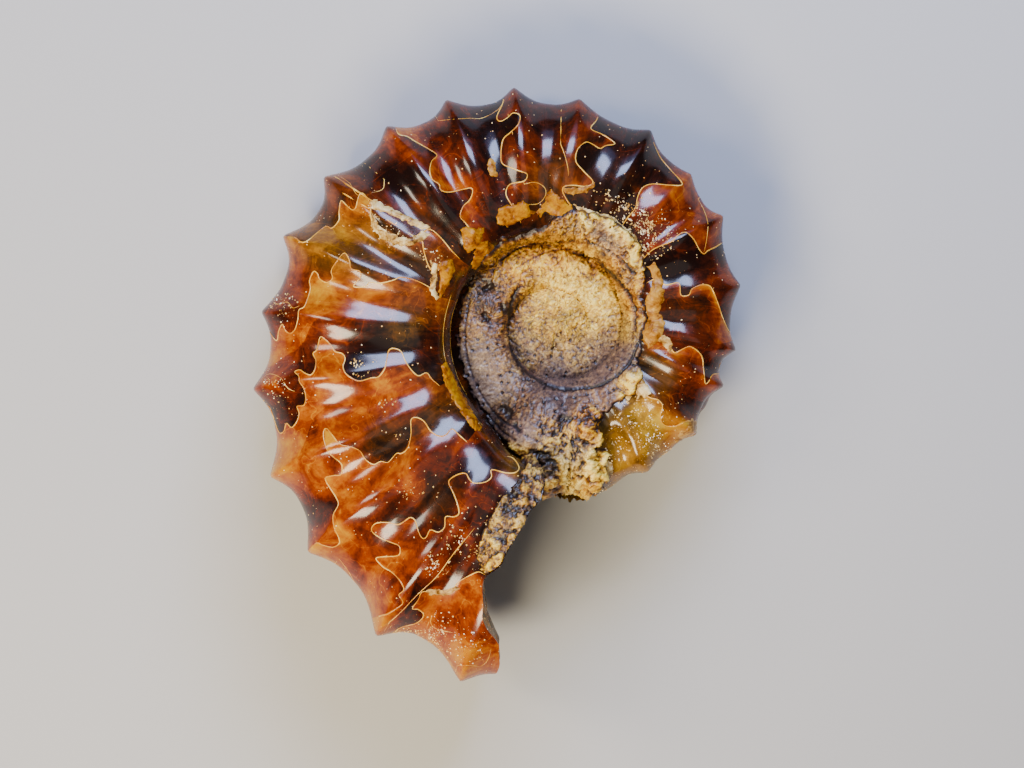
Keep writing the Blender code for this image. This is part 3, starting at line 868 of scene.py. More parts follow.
class Nodes:
    """A node tree, and short ways to add nodes to it."""

    def __init__(self, tree):
        self.tree = tree

    def node(self, kind, settings=None, **inputs):
        """A node with its settings and its inputs, which are values or sockets; i2 stands for the third input."""
        made = self.tree.nodes.new(kind)
        for key, value in (settings or {}).items():
            setattr(made, key, value)
        for key, value in inputs.items():
            numbered = key[0] == "i" and key[1:].isdigit()
            self.feed(made.inputs[int(key[1:]) if numbered else key.replace("_", " ")], value)
        return made

    def feed(self, socket, value):
        """Links an input to a socket, or sets it to a value."""
        if isinstance(value, bpy.types.NodeSocket):
            self.tree.links.new(value, socket)
        else:
            socket.default_value = value

    def math(self, operation, a, b=0.0, c=0.0, clamp=False):
        return self.node("ShaderNodeMath", {"operation": operation, "use_clamp": clamp}, i0=a, i1=b, i2=c).outputs[0]


def mottle_group():
    """A shader group that several materials share: noise on the object, from about -0.5 to 0.5."""
    tree = bpy.data.node_groups.new("mottle", "ShaderNodeTree")
    for title, value in (("Scale", 500.0), ("Detail", 3.0), ("Roughness", 0.6), ("Distortion", 0.0)):
        socket = tree.interface.new_socket(title, in_out="INPUT", socket_type="NodeSocketFloat")
        socket.default_value = value
    tree.interface.new_socket("Value", in_out="OUTPUT", socket_type="NodeSocketFloat")
    start, end = tree.nodes.new("NodeGroupInput"), tree.nodes.new("NodeGroupOutput")
    place = tree.nodes.new("ShaderNodeTexCoord")
    wave = tree.nodes.new("ShaderNodeTexNoise")
    centred = tree.nodes.new("ShaderNodeMath")
    centred.operation = "SUBTRACT"
    centred.inputs[1].default_value = 0.5
    tree.links.new(place.outputs["Object"], wave.inputs["Vector"])
    for title in ("Scale", "Detail", "Roughness", "Distortion"):
        tree.links.new(start.outputs[title], wave.inputs[title])
    tree.links.new(wave.outputs["Fac"], centred.inputs[0])
    tree.links.new(centred.outputs[0], end.inputs["Value"])
    return tree


MOTTLE = mottle_group()


class Paint(Nodes):
    """A material with its shader, and short ways to colour it."""

    def __init__(self, name):
        self.material = bpy.data.materials.new(name)
        self.material.use_nodes = True
        super().__init__(self.material.node_tree)
        self.shader = self.tree.nodes["Principled BSDF"]

    def attribute(self, name):
        return self.node("ShaderNodeAttribute", {"attribute_name": name}).outputs["Fac"]

    def mottle(self, scale, detail=3.0, roughness=0.6, distortion=0.0):
        """Noise about 0, from the shared group."""
        return self.node("ShaderNodeGroup", {"node_tree": MOTTLE}, Scale=scale, Detail=detail, Roughness=roughness,
                         Distortion=distortion).outputs["Value"]

    def noise(self, name, scale, detail, roughness, distortion):
        """Noise from 0 to 1 on a vector attribute that runs along the shell."""
        place = self.node("ShaderNodeAttribute", {"attribute_name": name}).outputs["Vector"]
        return self.node("ShaderNodeTexNoise", None, Vector=place, Scale=scale, Detail=detail, Roughness=roughness,
                         Distortion=distortion).outputs["Fac"]

    def squiggles(self, wave, width):
        """1 on the winding lines where a noise about 0 changes sign, falling to 0 at a width."""
        away = self.math("ABSOLUTE", wave)
        return self.math("SUBTRACT", 1.0, self.math("DIVIDE", away, width), clamp=True)

    def ramp(self, value, stops):
        """A colour for each value, from a list of (place, colour)."""
        made = self.node("ShaderNodeValToRGB", None, Fac=value)
        points = made.color_ramp.elements
        while len(points) < len(stops):
            points.new(0.5)
        for point, (place, colour) in zip(points, stops):
            point.position = place
            point.color = (*colour, 1.0) if len(colour) == 3 else colour
        return made.outputs["Color"]

    def mix(self, share, a, b, kind="MIX"):
        made = self.node("ShaderNodeMix", {"data_type": "RGBA", "blend_type": kind})
        self.feed(made.inputs[0], share)
        self.feed(made.inputs[6], a)
        self.feed(made.inputs[7], b)
        return made.outputs[2]

    def bump(self, height, distance, strength=1.0, under=None):
        made = self.node("ShaderNodeBump", None, Height=height, Distance=distance, Strength=strength)
        if under:
            self.tree.links.new(under, made.inputs["Normal"])
        return made.outputs["Normal"]

    def set(self, **inputs):
        for key, value in inputs.items():
            self.feed(self.shader.inputs[key.replace("_", " ")], value)


print("paints are ready")

# %% The calcite's material
CALCITE_STOPS = (
    (0.00, (0.006, 0.0015, 0.0008)), (0.15, (0.027, 0.004, 0.0008)), (0.30, (0.088, 0.009, 0.0004)),
    (0.45, (0.20, 0.026, 0.0001)), (0.60, (0.33, 0.082, 0.0001)), (0.75, (0.43, 0.165, 0.0001)),
    (0.88, (0.48, 0.220, 0.0001)), (1.00, (0.58, 0.33, 0.0002)),
)
CLOUD_STOPS = ((0.0, (0.02, 0.010, 0.003)), (0.30, (0.09, 0.048, 0.004)), (0.6, (0.27, 0.160, 0.008)),
               (1.0, (0.66, 0.47, 0.06)))


def calcite_paint():
    paint = Paint("calcite")
    number = paint.attribute("chamber")
    past = paint.math("FRACT", number)
    is_after = paint.math("LESS_THAN", past, 0.5)
    # Painted light and painted shade: each chamber wall is brighter on its lit side and darker on the other.
    glow = paint.node("ShaderNodeMix", {"data_type": "FLOAT"}, i0=is_after, i2=paint.attribute("aft"),
                      i3=paint.attribute("fore")).outputs[0]
    streak = paint.math("SUBTRACT", paint.noise("flow", 1.0, 4.0, 0.62, 0.4), 0.5)
    veins = paint.squiggles(paint.mottle(170, 3.0, 0.5, 0.8), 0.006)
    bright = paint.math("MULTIPLY", paint.math("MULTIPLY_ADD", glow, 0.9, paint.attribute("tone")), 0.74)
    bright = paint.math("MULTIPLY_ADD", paint.mottle(330, 5.0, 0.66, 0.6), 1.10, bright)
    bright = paint.math("MULTIPLY_ADD", streak, 0.32, bright)
    bright = paint.math("MULTIPLY_ADD", veins, 0.16, bright)
    bright = paint.math("MULTIPLY_ADD", paint.mottle(1900, 3.0, 0.7, 0.3), 0.24, bright, clamp=True)
    clear = paint.ramp(bright, CALCITE_STOPS)
    cloudy = paint.ramp(bright, CLOUD_STOPS)
    share = paint.math("MULTIPLY", paint.attribute("haze"), 0.85)
    colour = paint.mix(share, clear, cloudy)
    waves = paint.bump(paint.mottle(420, 2.0, 0.5), 0.12 * MM, 0.5)
    ripples = paint.bump(streak, 0.05 * MM, 0.5, waves)
    fine = paint.bump(paint.mottle(2200, 2.0, 0.6), 0.02 * MM, 0.5, ripples)
    silk = paint.math("MULTIPLY_ADD", streak, 0.30, 0.24)
    silk = paint.math("MAXIMUM", silk, 0.14)
    paint.set(Base_Color=colour, Roughness=silk, Metallic=0.0, IOR=1.5, Specular_IOR_Level=0.1,
              Normal=fine, Coat_Weight=0.25, Coat_Roughness=0.13, Coat_IOR=1.9)
    return paint.material


calcite = calcite_paint()
BODY_LOWEST = 0.03 * MM
body = piece("calcite_body", body_mesh, calcite, BODY_LOWEST)
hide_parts("ammonite")
print("dressed:", body.name)

# %% [markdown]
# ## Beads of cream along the lines
# The chamber walls' edges are cream-coloured mineral, which stands a little proud of the polish. A bead that
# follows a path is a job for Geometry Nodes: one tree sweeps a small round section along all lines at once, and
# noise makes it swell and thin.

# %% From a point of the picture to the shell
LAST_LINE_PLACE = 0.97
VENTER_STEPS = 6
LAID_WITHIN = 0.12 * MM


def on_shell(flat, side, tries=5):
    """The angle and place whose surface point lies straight over or under a point of the coil's plane."""
    guess = np.array(flat, float)
    for _ in range(tries):
        angle = float(unwound(guess[None])[0])
        share = math.hypot(*guess) / tip_radius(angle)
        if share >= CREST_RADIUS:
            run = min(1.0, (share - CREST_RADIUS) / (VENTER_SHARE - CREST_RADIUS)) ** (FLANK_SQUARENESS / 2)
            place = CREST_PLACE * math.acos(run) / (math.pi / 2)
        else:
            seat = seam(angle, side)[0] / tip_radius(angle)
            run = min(1.0, (CREST_RADIUS - share) / (CREST_RADIUS - seat)) ** (WALL_SQUARENESS / 2)
            place = CREST_PLACE + (1 - CREST_PLACE) * math.asin(run) / (math.pi / 2)
        point = shell_point(angle, place, side)
        guess += flat - np.array(point.xy)
    return angle, place, point


def laid_line(curve, side):
    """The points of a flat curve laid on one flank, and carried on over the outer edge to its middle."""
    line = []
    for flat in curve:
        angle, place, point = on_shell(flat, side)
        if place > LAST_LINE_PLACE:
            continue
        if not line and place > 0:
            line += [shell_point(angle, place * k / VENTER_STEPS, side) for k in range(VENTER_STEPS)]
        line.append(point)
    return [spot for spot in (body_tree.find_nearest(point) for point in line) if spot[3] < LAID_WITHIN]


print("a point straight over the left flank, mm:", [round(c / MM, 2) for c in on_shell((-0.02, 0.0), 1)[2]])

# %% The loose lines: edges of flakes and seams, each with its thickness against the others
LOOSE_LINES = (
    (1.5, (373, 203), (373, 217), (377, 228), (388, 238), (398, 243), (410, 244), (423, 235), (432, 231)),
    (1.3, (373, 203), (380, 206), (389, 212), (400, 219), (413, 224), (424, 228), (432, 231)),
    (1.3, (424, 244), (426, 256), (430, 268), (436, 277), (432, 288), (439, 295)),
    (0.6, (439, 123), (459, 122), (470, 121), (481, 121), (492, 116), (499, 111), (503, 105)),
    (0.7, (560, 147), (564, 158), (567, 170), (568, 181)),
    (0.7, (697, 200), (703, 212), (706, 225), (705, 240), (702, 255)),
    (0.7, (433, 612), (432, 620), (438, 626), (455, 629)),
    (0.6, (341, 557), (350, 570), (356, 582), (360, 592), (362, 602), (361, 612)),
    (0.8, (380, 630), (390, 629), (402, 631), (415, 636), (430, 644), (440, 655)),
    (0.8, (458, 662), (470, 661), (482, 662), (489, 654), (492, 640)),
    (0.6, (262, 380), (272, 374), (284, 378), (291, 388), (300, 392)),
    (0.6, (272, 300), (280, 305), (290, 303), (296, 309), (304, 306)),
    (0.5, (344, 180), (352, 186), (358, 196), (364, 200)),
    (0.9, (391, 619), (404, 607), (420, 590), (438, 573), (455, 550), (478, 522)),
    (0.6, (386, 182), (384, 192), (370, 196)),
    (0.6, (524, 187), (535, 185), (544, 190), (545, 198), (538, 206), (526, 207)),
    (0.5, (452, 296), (446, 318), (444, 342), (448, 366), (458, 390), (472, 412), (488, 430)),
    (0.5, (458, 300), (452, 320), (451, 344), (455, 368), (465, 391), (479, 411)),
)
BEAD_RADIUS = 0.062 * MM
BEAD_SINK = 0.015 * MM
LINE_TAPER = 0.25


def line_object(name, lines):
    """Poly splines through points on the surface, sunk a little into it, with a thickness for each."""
    data = bpy.data.curves.new(name, "CURVE")
    data.dimensions = "3D"
    for thickness, spots in lines:
        if len(spots) < 3:
            continue
        spline = data.splines.new("POLY")
        spline.points.add(len(spots) - 1)
        for k, (place, normal, _, _) in enumerate(spots):
            spline.points[k].co = (*(place - normal * BEAD_SINK), 1.0)
            ends = min(1.0, LINE_TAPER * (1 + min(k, len(spots) - 1 - k)))
            spline.points[k].radius = thickness * ends
    thing = bpy.data.objects.new(name, data)
    bpy.context.scene.collection.objects.link(thing)
    return thing


laid = [(1.0, laid_line(curve, side)) for curve in curves for side in (1, -1)]
laid += [(line[0], laid_line(eased_curve(line[1:]), side)) for line in LOOSE_LINES for side in (1, -1)]
bead_paths = line_object("bead_paths", laid)
print("laid lines:", len(laid), "with", sum(len(spots) for _, spots in laid), "points")

# %% Geometry Nodes helpers


class Tree(Nodes):
    """A Geometry Nodes tree with named inputs."""

    def __init__(self, name, inputs):
        super().__init__(bpy.data.node_groups.new(name, "GeometryNodeTree"))
        self.tree.interface.new_socket("Geometry", in_out="INPUT", socket_type="NodeSocketGeometry")
        self.tree.interface.new_socket("Geometry", in_out="OUTPUT", socket_type="NodeSocketGeometry")
        for title, kind, value in inputs:
            socket = self.tree.interface.new_socket(title, in_out="INPUT", socket_type="NodeSocket" + kind)
            if value is not None:
                socket.default_value = value
        self.start = self.tree.nodes.new("NodeGroupInput")
        self.end = self.tree.nodes.new("NodeGroupOutput")

    def given(self, title):
        return self.start.outputs[title]

    def finish(self, geometry, material):
        """Ends the tree in real, painted geometry."""
        real = self.node("GeometryNodeRealizeInstances", None, Geometry=geometry)
        painted = self.node("GeometryNodeSetMaterial", None, Geometry=real.outputs[0], Material=material)
        self.tree.links.new(painted.outputs[0], self.end.inputs[0])


def grown(source, tree, values):
    """The mesh that a tree makes from an object, which is then thrown away."""
    modifier = source.modifiers.new("grow", "NODES")
    modifier.node_group = tree.tree
    for item in tree.tree.interface.items_tree:
        if item.in_out == "INPUT" and item.name in values:
            modifier[item.identifier] = values[item.name]
    bpy.context.view_layer.update()
    data = bpy.data.meshes.new_from_object(source.evaluated_get(bpy.context.evaluated_depsgraph_get()))
    bpy.data.objects.remove(source)
    return data


print("a tree ends in Realize Instances and Set Material")

# %% The beads' tree and paint


def bead_tree():
    tree = Tree("bead_along_lines", [("Radius", "Float", BEAD_RADIUS), ("Variation", "Float", 0.5),
                                     ("Wave", "Float", 900.0), ("Seed", "Float", 3.0)])
    place = tree.node("GeometryNodeInputPosition").outputs[0]
    wave = tree.node("ShaderNodeTexNoise", {"noise_dimensions": "4D"}, Vector=place, W=tree.given("Seed"),
                     Scale=tree.given("Wave"), Detail=2.0).outputs[0]
    swell = tree.math("SUBTRACT", wave, 0.5)
    swell = tree.math("MULTIPLY", swell, tree.given("Variation"))
    swell = tree.math("MULTIPLY_ADD", swell, 3.0, 1.0)
    radius = tree.node("GeometryNodeInputRadius").outputs[0]
    size = tree.math("MULTIPLY", radius, swell)
    size = tree.math("MULTIPLY", size, tree.given("Radius"))
    ring = tree.node("GeometryNodeCurvePrimitiveCircle", {"mode": "RADIUS"}, Resolution=6, Radius=1.0).outputs[0]
    swept = tree.node("GeometryNodeCurveToMesh", None, Curve=tree.given("Geometry"), Profile_Curve=ring, Scale=size,
                      Fill_Caps=True)
    return tree, swept.outputs[0]


def cream_paint():
    paint = Paint("suture_cream")
    tint = paint.math("ADD", paint.mottle(500), 0.5)
    colour = paint.ramp(tint, ((0.32, (0.42, 0.13, 0.006)), (0.50, (0.68, 0.31, 0.015)), (0.66, (0.86, 0.58, 0.14))))
    paint.set(Base_Color=colour, Roughness=0.28, Metallic=0.0, IOR=1.55)
    return paint.material


suture_cream = cream_paint()
tree, swept = bead_tree()
tree.finish(swept, suture_cream)
bead_mesh = grown(bead_paths, tree, {"Radius": BEAD_RADIUS, "Variation": 0.6, "Wave": 900.0, "Seed": 3.0})
bead_mesh.shade_smooth()
piece("suture_lines", bead_mesh, suture_cream)
print("bead triangles:", sum(len(p.vertices) - 2 for p in bead_mesh.polygons))

# %% [markdown]
# ## The crust in the middle
# The umbilicus is filled with a mound of golden grains with worm-like relief, and the whorl round it wears a dull
# crust that turns mauve and pitted at the lower left. That mauve, and the mauve along the mound's lower edge, is
# partly the crust's own colour and partly a painted reflection of the cool light. Such a layer is easiest as a fine
# sheet of its own: straight lines are dropped on the body from above, and the sheet is laid where they land, thicker
# here and thinner there, with its border sunk into the stone.

# %% Where the crust lies, and how it looks from place to place
# x, y, brightness, mauve, orange (shares in tenths), thickness in hundredths of a millimetre
# The brightness and mauve columns are partly the crust's colour and partly painted light: the mound is brighter at
# its upper edge, and mauve along its lower edge and on the ring's lower left is partly a painted reflection of the
# cool light.
CRUST_LOOK = (
    (575, 320, 7, 0, 2, 14), (558, 292, 9, 0, 4, 14), (600, 298, 9, 0, 3, 14), (542, 330, 6, 0, 2, 12),
    (575, 352, 5, 3, 1, 12), (560, 378, 4, 8, 0, 10), (602, 374, 4, 8, 0, 10), (528, 350, 4, 4, 2, 10),
    (628, 330, 6, 2, 3, 14), (622, 358, 4, 7, 0, 10), (560, 248, 7, 0, 9, 18), (522, 258, 7, 0, 7, 16),
    (498, 268, 5, 0, 6, 14), (592, 244, 8, 0, 7, 22), (612, 262, 6, 0, 8, 20), (628, 284, 6, 1, 7, 20),
    (482, 292, 2, 1, 2, 8), (468, 328, 5, 4, 5, 10), (480, 360, 6, 7, 0, 10), (490, 392, 6, 8, 0, 10),
    (508, 410, 2, 3, 3, 8), (524, 432, 5, 9, 0, 10), (458, 310, 4, 2, 4, 8), (500, 318, 3, 1, 5, 8),
    (510, 352, 4, 4, 3, 8), (560, 402, 3, 8, 1, 8), (600, 400, 4, 6, 5, 10), (590, 422, 6, 0, 9, 30),
    (545, 425, 4, 3, 5, 20), (560, 440, 5, 2, 3, 30), (540, 460, 5, 3, 0, 35), (575, 455, 6, 4, 1, 35),
    (570, 480, 8, 1, 2, 35), (597, 462, 10, 0, 3, 30), (520, 452, 5, 1, 5, 25), (552, 492, 4, 2, 4, 30),
    (500, 540, 6, 1, 3, 30), (505, 515, 4, 2, 1, 30), (484, 556, 6, 0, 5, 30), (520, 495, 3, 1, 3, 30),
    (590, 215, 9, 0, 1, 35), (615, 225, 9, 0, 1, 35), (600, 236, 4, 6, 4, 20), (640, 250, 9, 0, 3, 35),
    (545, 231, 4, 0, 6, 14), (515, 241, 4, 0, 7, 12), (570, 229, 4, 0, 5, 14), (612, 250, 5, 4, 5, 18),
    (645, 300, 6, 0, 9, 20), (630, 390, 8, 0, 4, 25), (590, 490, 7, 0, 8, 30),
)
CRUST_BLEND = 9 * PICTURE_STEP
# Grooves in the crust, sunk and darkened with painted shade, each with its half width and depth in hundredths
# of a millimetre.
GROOVES = (
    (13, 22, (520, 286), (511, 300), (507, 318), (507, 338), (512, 356), (522, 371), (538, 383), (556, 390),
     (577, 391), (598, 387), (617, 377), (630, 362), (638, 344)),
    (14, 14, (636, 330), (636, 312), (631, 296), (621, 281), (607, 268), (590, 259), (572, 255)),
    (10, 12, (470, 300), (466, 330), (468, 356), (475, 380), (487, 402), (503, 420), (520, 430)),
    (8, 10, (464, 300), (460, 330), (462, 358), (470, 384), (483, 407), (500, 427), (518, 440)),
    (10, 12, (500, 262), (520, 250), (545, 243), (572, 240), (598, 245), (618, 257), (632, 272)),
    (8, 10, (515, 270), (535, 258), (560, 251), (585, 253), (608, 262), (624, 277)),
    (30, 26, (485, 290), (491, 287)), (26, 26, (484, 315), (488, 320)), (20, 20, (502, 306), (504, 312)),
    (30, 26, (505, 408), (511, 414)), (22, 20, (516, 426), (520, 431)), (30, 34, (596, 424), (601, 436), (600, 448)),
    (9, 14, (583, 222), (584, 232), (588, 242)), (26, 24, (532, 448), (541, 452)), (26, 24, (560, 418), (571, 420)),
)
CRUST_STEP = {1: 0.10 * MM, -1: 0.14 * MM}


def crust_look(flat):
    """The columns of the crust's table at places, and the depth of the grooves there in metres."""
    look = blended(flat, CRUST_LOOK, CRUST_BLEND)
    grooves = np.zeros(len(flat))
    for width, deep, *line in GROOVES:
        gap = distance_to(eased_curve(line), flat)
        grooves = np.maximum(grooves, deep * np.exp(-(gap / (width * 0.01 * MM)) ** 2))
    return np.column_stack([look, grooves * 0.01 * MM])


LOWEST_LANDING = 1.5 * MM
RAY_START = 40 * MM


def landing(outline, step, side, margin):
    """Where the places of an even grid over an outline land on their own half of the body, with their depth."""
    polygon = np.array([from_picture(p) for p in outline])
    low, high = polygon.min(0) - margin, polygon.max(0) + margin
    columns, rows = (np.ceil((high - low) / step)).astype(int) + 1
    grid = np.array([(low[0] + i * step, low[1] + j * step) for i in range(columns) for j in range(rows)])
    depth = distance_to(np.vstack([polygon, polygon[:1]]), grid)
    depth = np.where(inside(polygon, grid), depth, -depth)
    spots = {}
    for k in np.nonzero(depth > -margin)[0]:
        hit = body_tree.ray_cast(Vector((*grid[k], side * RAY_START)), Vector((0, 0, -side)))
        if hit[0] is not None and side * hit[0].z > LOWEST_LANDING:
            spots[int(k)] = (hit[0], hit[1], depth[k])
    return spots, rows


STEEPEST = 20
DEEPEST_KEPT = -0.05 * MM
SHEET_MARGIN = 0.3 * MM


def laid_sheet(skin, outline, step, side, height, looks=None):
    """Adds a sheet over an outline, raised from the body by height(place, depth, look), and gives back the rises."""
    spots, rows = landing(outline, step, side, SHEET_MARGIN)
    flat = np.array([place.xy for place, _, _ in spots.values()])
    look = looks(flat) if looks else np.zeros((len(flat), 1))
    raised, made = {}, {}
    for (k, (place, normal, depth)), row in zip(spots.items(), look):
        raised[k] = height(place, depth, row)
        made[k] = skin.corner(place + normal * raised[k])
    for k in made:
        cell = (k, k + rows, k + rows + 1, k + 1)
        if not all(c in made for c in cell) or max(raised[c] for c in cell) < DEEPEST_KEPT:
            continue
        levels = [skin.corners[made[c]][2] for c in cell]
        if max(levels) - min(levels) < STEEPEST * step:
            skin.faces.append(tuple(made[c] for c in (cell if side > 0 else cell[::-1])))
    return look, np.array(list(raised.values()))


print("crust outline:", len(CRUST_OUTLINE), "points")

# %% The crust's relief
SINK = 0.16 * MM
CRUST_BASE = 24
GRAIN_SIZE = 0.85 * MM
GRAIN_HEIGHT = 0.10 * MM
WORM_SPACING = 0.62 * MM
WORM_TURNS = 2.2
WORM_HEIGHT = 0.06 * MM
GRIT_SIZE = 0.26 * MM
GRIT_HEIGHT = 0.06 * MM
PIT_SPACING = 0.80 * MM
PIT_REACH = 0.26
PIT_DEPTH = 0.20 * MM
EDGE_RUN = 0.45 * MM
RUGGED_FROM = 14
RUGGED_TO = 32
RUGGED_SIZE = 0.9 * MM
RUGGED_HEIGHT = 0.42 * MM
CRUST_WAVES = ((0.35 * MM, 0.9 * MM), (0.2 * MM, 0.35 * MM))
BEND_SIZE = 0.7 * MM
BEND_MM = 0.30
PIT_SLOPE = 0.12
CRUST_LEAST = 0.04 * MM


def wavy(place, depth, waves):
    """A depth inside an outline, changed by waves of a height and a size, so that the edge isn't smooth."""
    for height, size in waves:
        depth += height * noise.noise(place / size)
    return depth


def rugged(thickness):
    """How rugged the crust is, from 0 to 1: the thick parts are broken and full of holes."""
    return np.clip((thickness - RUGGED_FROM) / (RUGGED_TO - RUGGED_FROM), 0.0, 1.0)


def crust_height(place, depth, look):
    """How far the crust stands up from the body at a place, at a depth inside its outline."""
    thick = (look[3] + CRUST_BASE) * 0.01 * MM
    cover = smooth(wavy(place, depth, CRUST_WAVES) / EDGE_RUN + 0.5)
    bend = noise.noise_vector(place / BEND_SIZE) * BEND_MM * MM
    near, where = noise.voronoi((place + bend) / GRAIN_SIZE)
    grain = min(1.0, (near[1] - near[0]) / 0.25) * (0.6 + 0.8 * noise.cell(where[0] * 7.0))
    worm = math.cos(TURN * WORM_TURNS * noise.noise((place + bend) / WORM_SPACING))
    grit = noise.fractal(place / GRIT_SIZE, 0.7, 2.1, 3)
    pits = noise.voronoi(place / PIT_SPACING)[0][0]
    hollow = smooth((PIT_REACH - pits) / PIT_SLOPE) * (0.2 + 0.8 * min(1.0, look[1] / 6))
    plain = 1 - 0.07 * look[1]
    relief = (GRAIN_HEIGHT * (grain - 0.5) + WORM_HEIGHT * worm) * plain + GRIT_HEIGHT * grit * (0.5 + look[3] / 18)
    relief += RUGGED_HEIGHT * rugged(look[3]) * noise.fractal(place / RUGGED_SIZE, 0.6, 2.0, 3)
    return cover * max(thick + relief - PIT_DEPTH * hollow - look[4], CRUST_LEAST) - (1 - cover) * SINK


def crust_piece(side):
    skin = Skin()
    look, rise = laid_sheet(skin, CRUST_OUTLINE, CRUST_STEP[side], side, crust_height, crust_look)
    data = skin.mesh("umbilicus_crust")
    rise = (rise - (look[:, 3] + CRUST_BASE) * 0.01 * MM) / (0.25 * MM)
    # Painted shade: the crust darkens along its grooves and pits.
    shade = np.clip(look[:, 4] / (0.3 * MM), 0.0, 1.0)
    # Painted highlight and painted shade: the crust is brighter on its raised grains and darker in its hollows.
    store(data, "bright", look[:, 0] / 10 + 0.02 + 0.6 * np.clip(rise, -1.2, 0.5) - 0.35 * shade)
    store(data, "rugged", rugged(look[:, 3]))
    store(data, "mauve", look[:, 1] / 10)
    store(data, "orange", look[:, 2] / 10)
    data.shade_smooth()
    return data


def crust_paint():
    paint = Paint("mineral_crust")
    speckle = paint.mottle(2600, 3.0, 0.7)
    patch = paint.mottle(650, 3.0, 0.6, 0.8)
    worms = paint.squiggles(paint.mottle(1050, 1.0, 0.5, 1.4), 0.035)
    plain = paint.math("SUBTRACT", 1.0, paint.math("MULTIPLY", paint.attribute("mauve"), 0.7))
    fine_worms = paint.squiggles(paint.mottle(2400, 1.0, 0.5, 1.5), 0.05)
    contrast = paint.math("MULTIPLY_ADD", paint.attribute("rugged"), 0.9, 0.45)
    bright = paint.math("MULTIPLY_ADD", speckle, 0.60, paint.attribute("bright"))
    bright = paint.math("MULTIPLY_ADD", patch, contrast, bright)
    bright = paint.math("MULTIPLY_ADD", paint.math("MULTIPLY", worms, plain), -0.34, bright)
    bright = paint.math("MULTIPLY_ADD", fine_worms, -0.16, bright, clamp=True)
    tan = paint.ramp(bright, ((0.0, (0.010, 0.004, 0.001)), (0.25, (0.070, 0.028, 0.004)),
                              (0.5, (0.25, 0.142, 0.010)), (0.78, (0.52, 0.33, 0.022)), (1.0, (0.86, 0.67, 0.17))))
    mauve = paint.ramp(bright, ((0.0, (0.010, 0.007, 0.010)), (0.3, (0.070, 0.043, 0.045)),
                                (0.6, (0.17, 0.100, 0.085)), (1.0, (0.44, 0.31, 0.26))))
    orange = paint.ramp(bright, ((0.0, (0.02, 0.005, 0.001)), (0.3, (0.16, 0.042, 0.001)),
                                 (0.6, (0.46, 0.185, 0.001)), (1.0, (0.76, 0.46, 0.015))))
    ochre_share = paint.math("MULTIPLY_ADD", patch, 1.8, paint.attribute("orange"), clamp=True)
    colour = paint.mix(ochre_share, tan, orange)
    colour = paint.mix(paint.attribute("mauve"), colour, mauve)
    rough = paint.math("MULTIPLY_ADD", speckle, 0.3, 0.42)
    ridges = paint.bump(worms, 0.05 * MM, -0.5)
    normal = paint.bump(paint.mottle(3200, 3.0, 0.7), 0.03 * MM, 0.8, ridges)
    paint.set(Base_Color=colour, Roughness=rough, Metallic=0.0, IOR=1.5, Normal=normal)
    return paint.material


mineral_crust = crust_paint()
for side, name in ((1, "umbilicus_crust_upper"), (-1, "umbilicus_crust_lower")):
    data = crust_piece(side)
    print(name, "has", 2 * len(data.polygons), "triangles")
    piece(name, data, mineral_crust)

# %% [markdown]
# ## Flakes of orange shell
# Small flakes of the shell itself are left round the umbilicus: smooth, rounded and bright orange, or rough and
# cream. Each is a sheet like the crust, but domed, so its outline and its share of cream are all that is given.

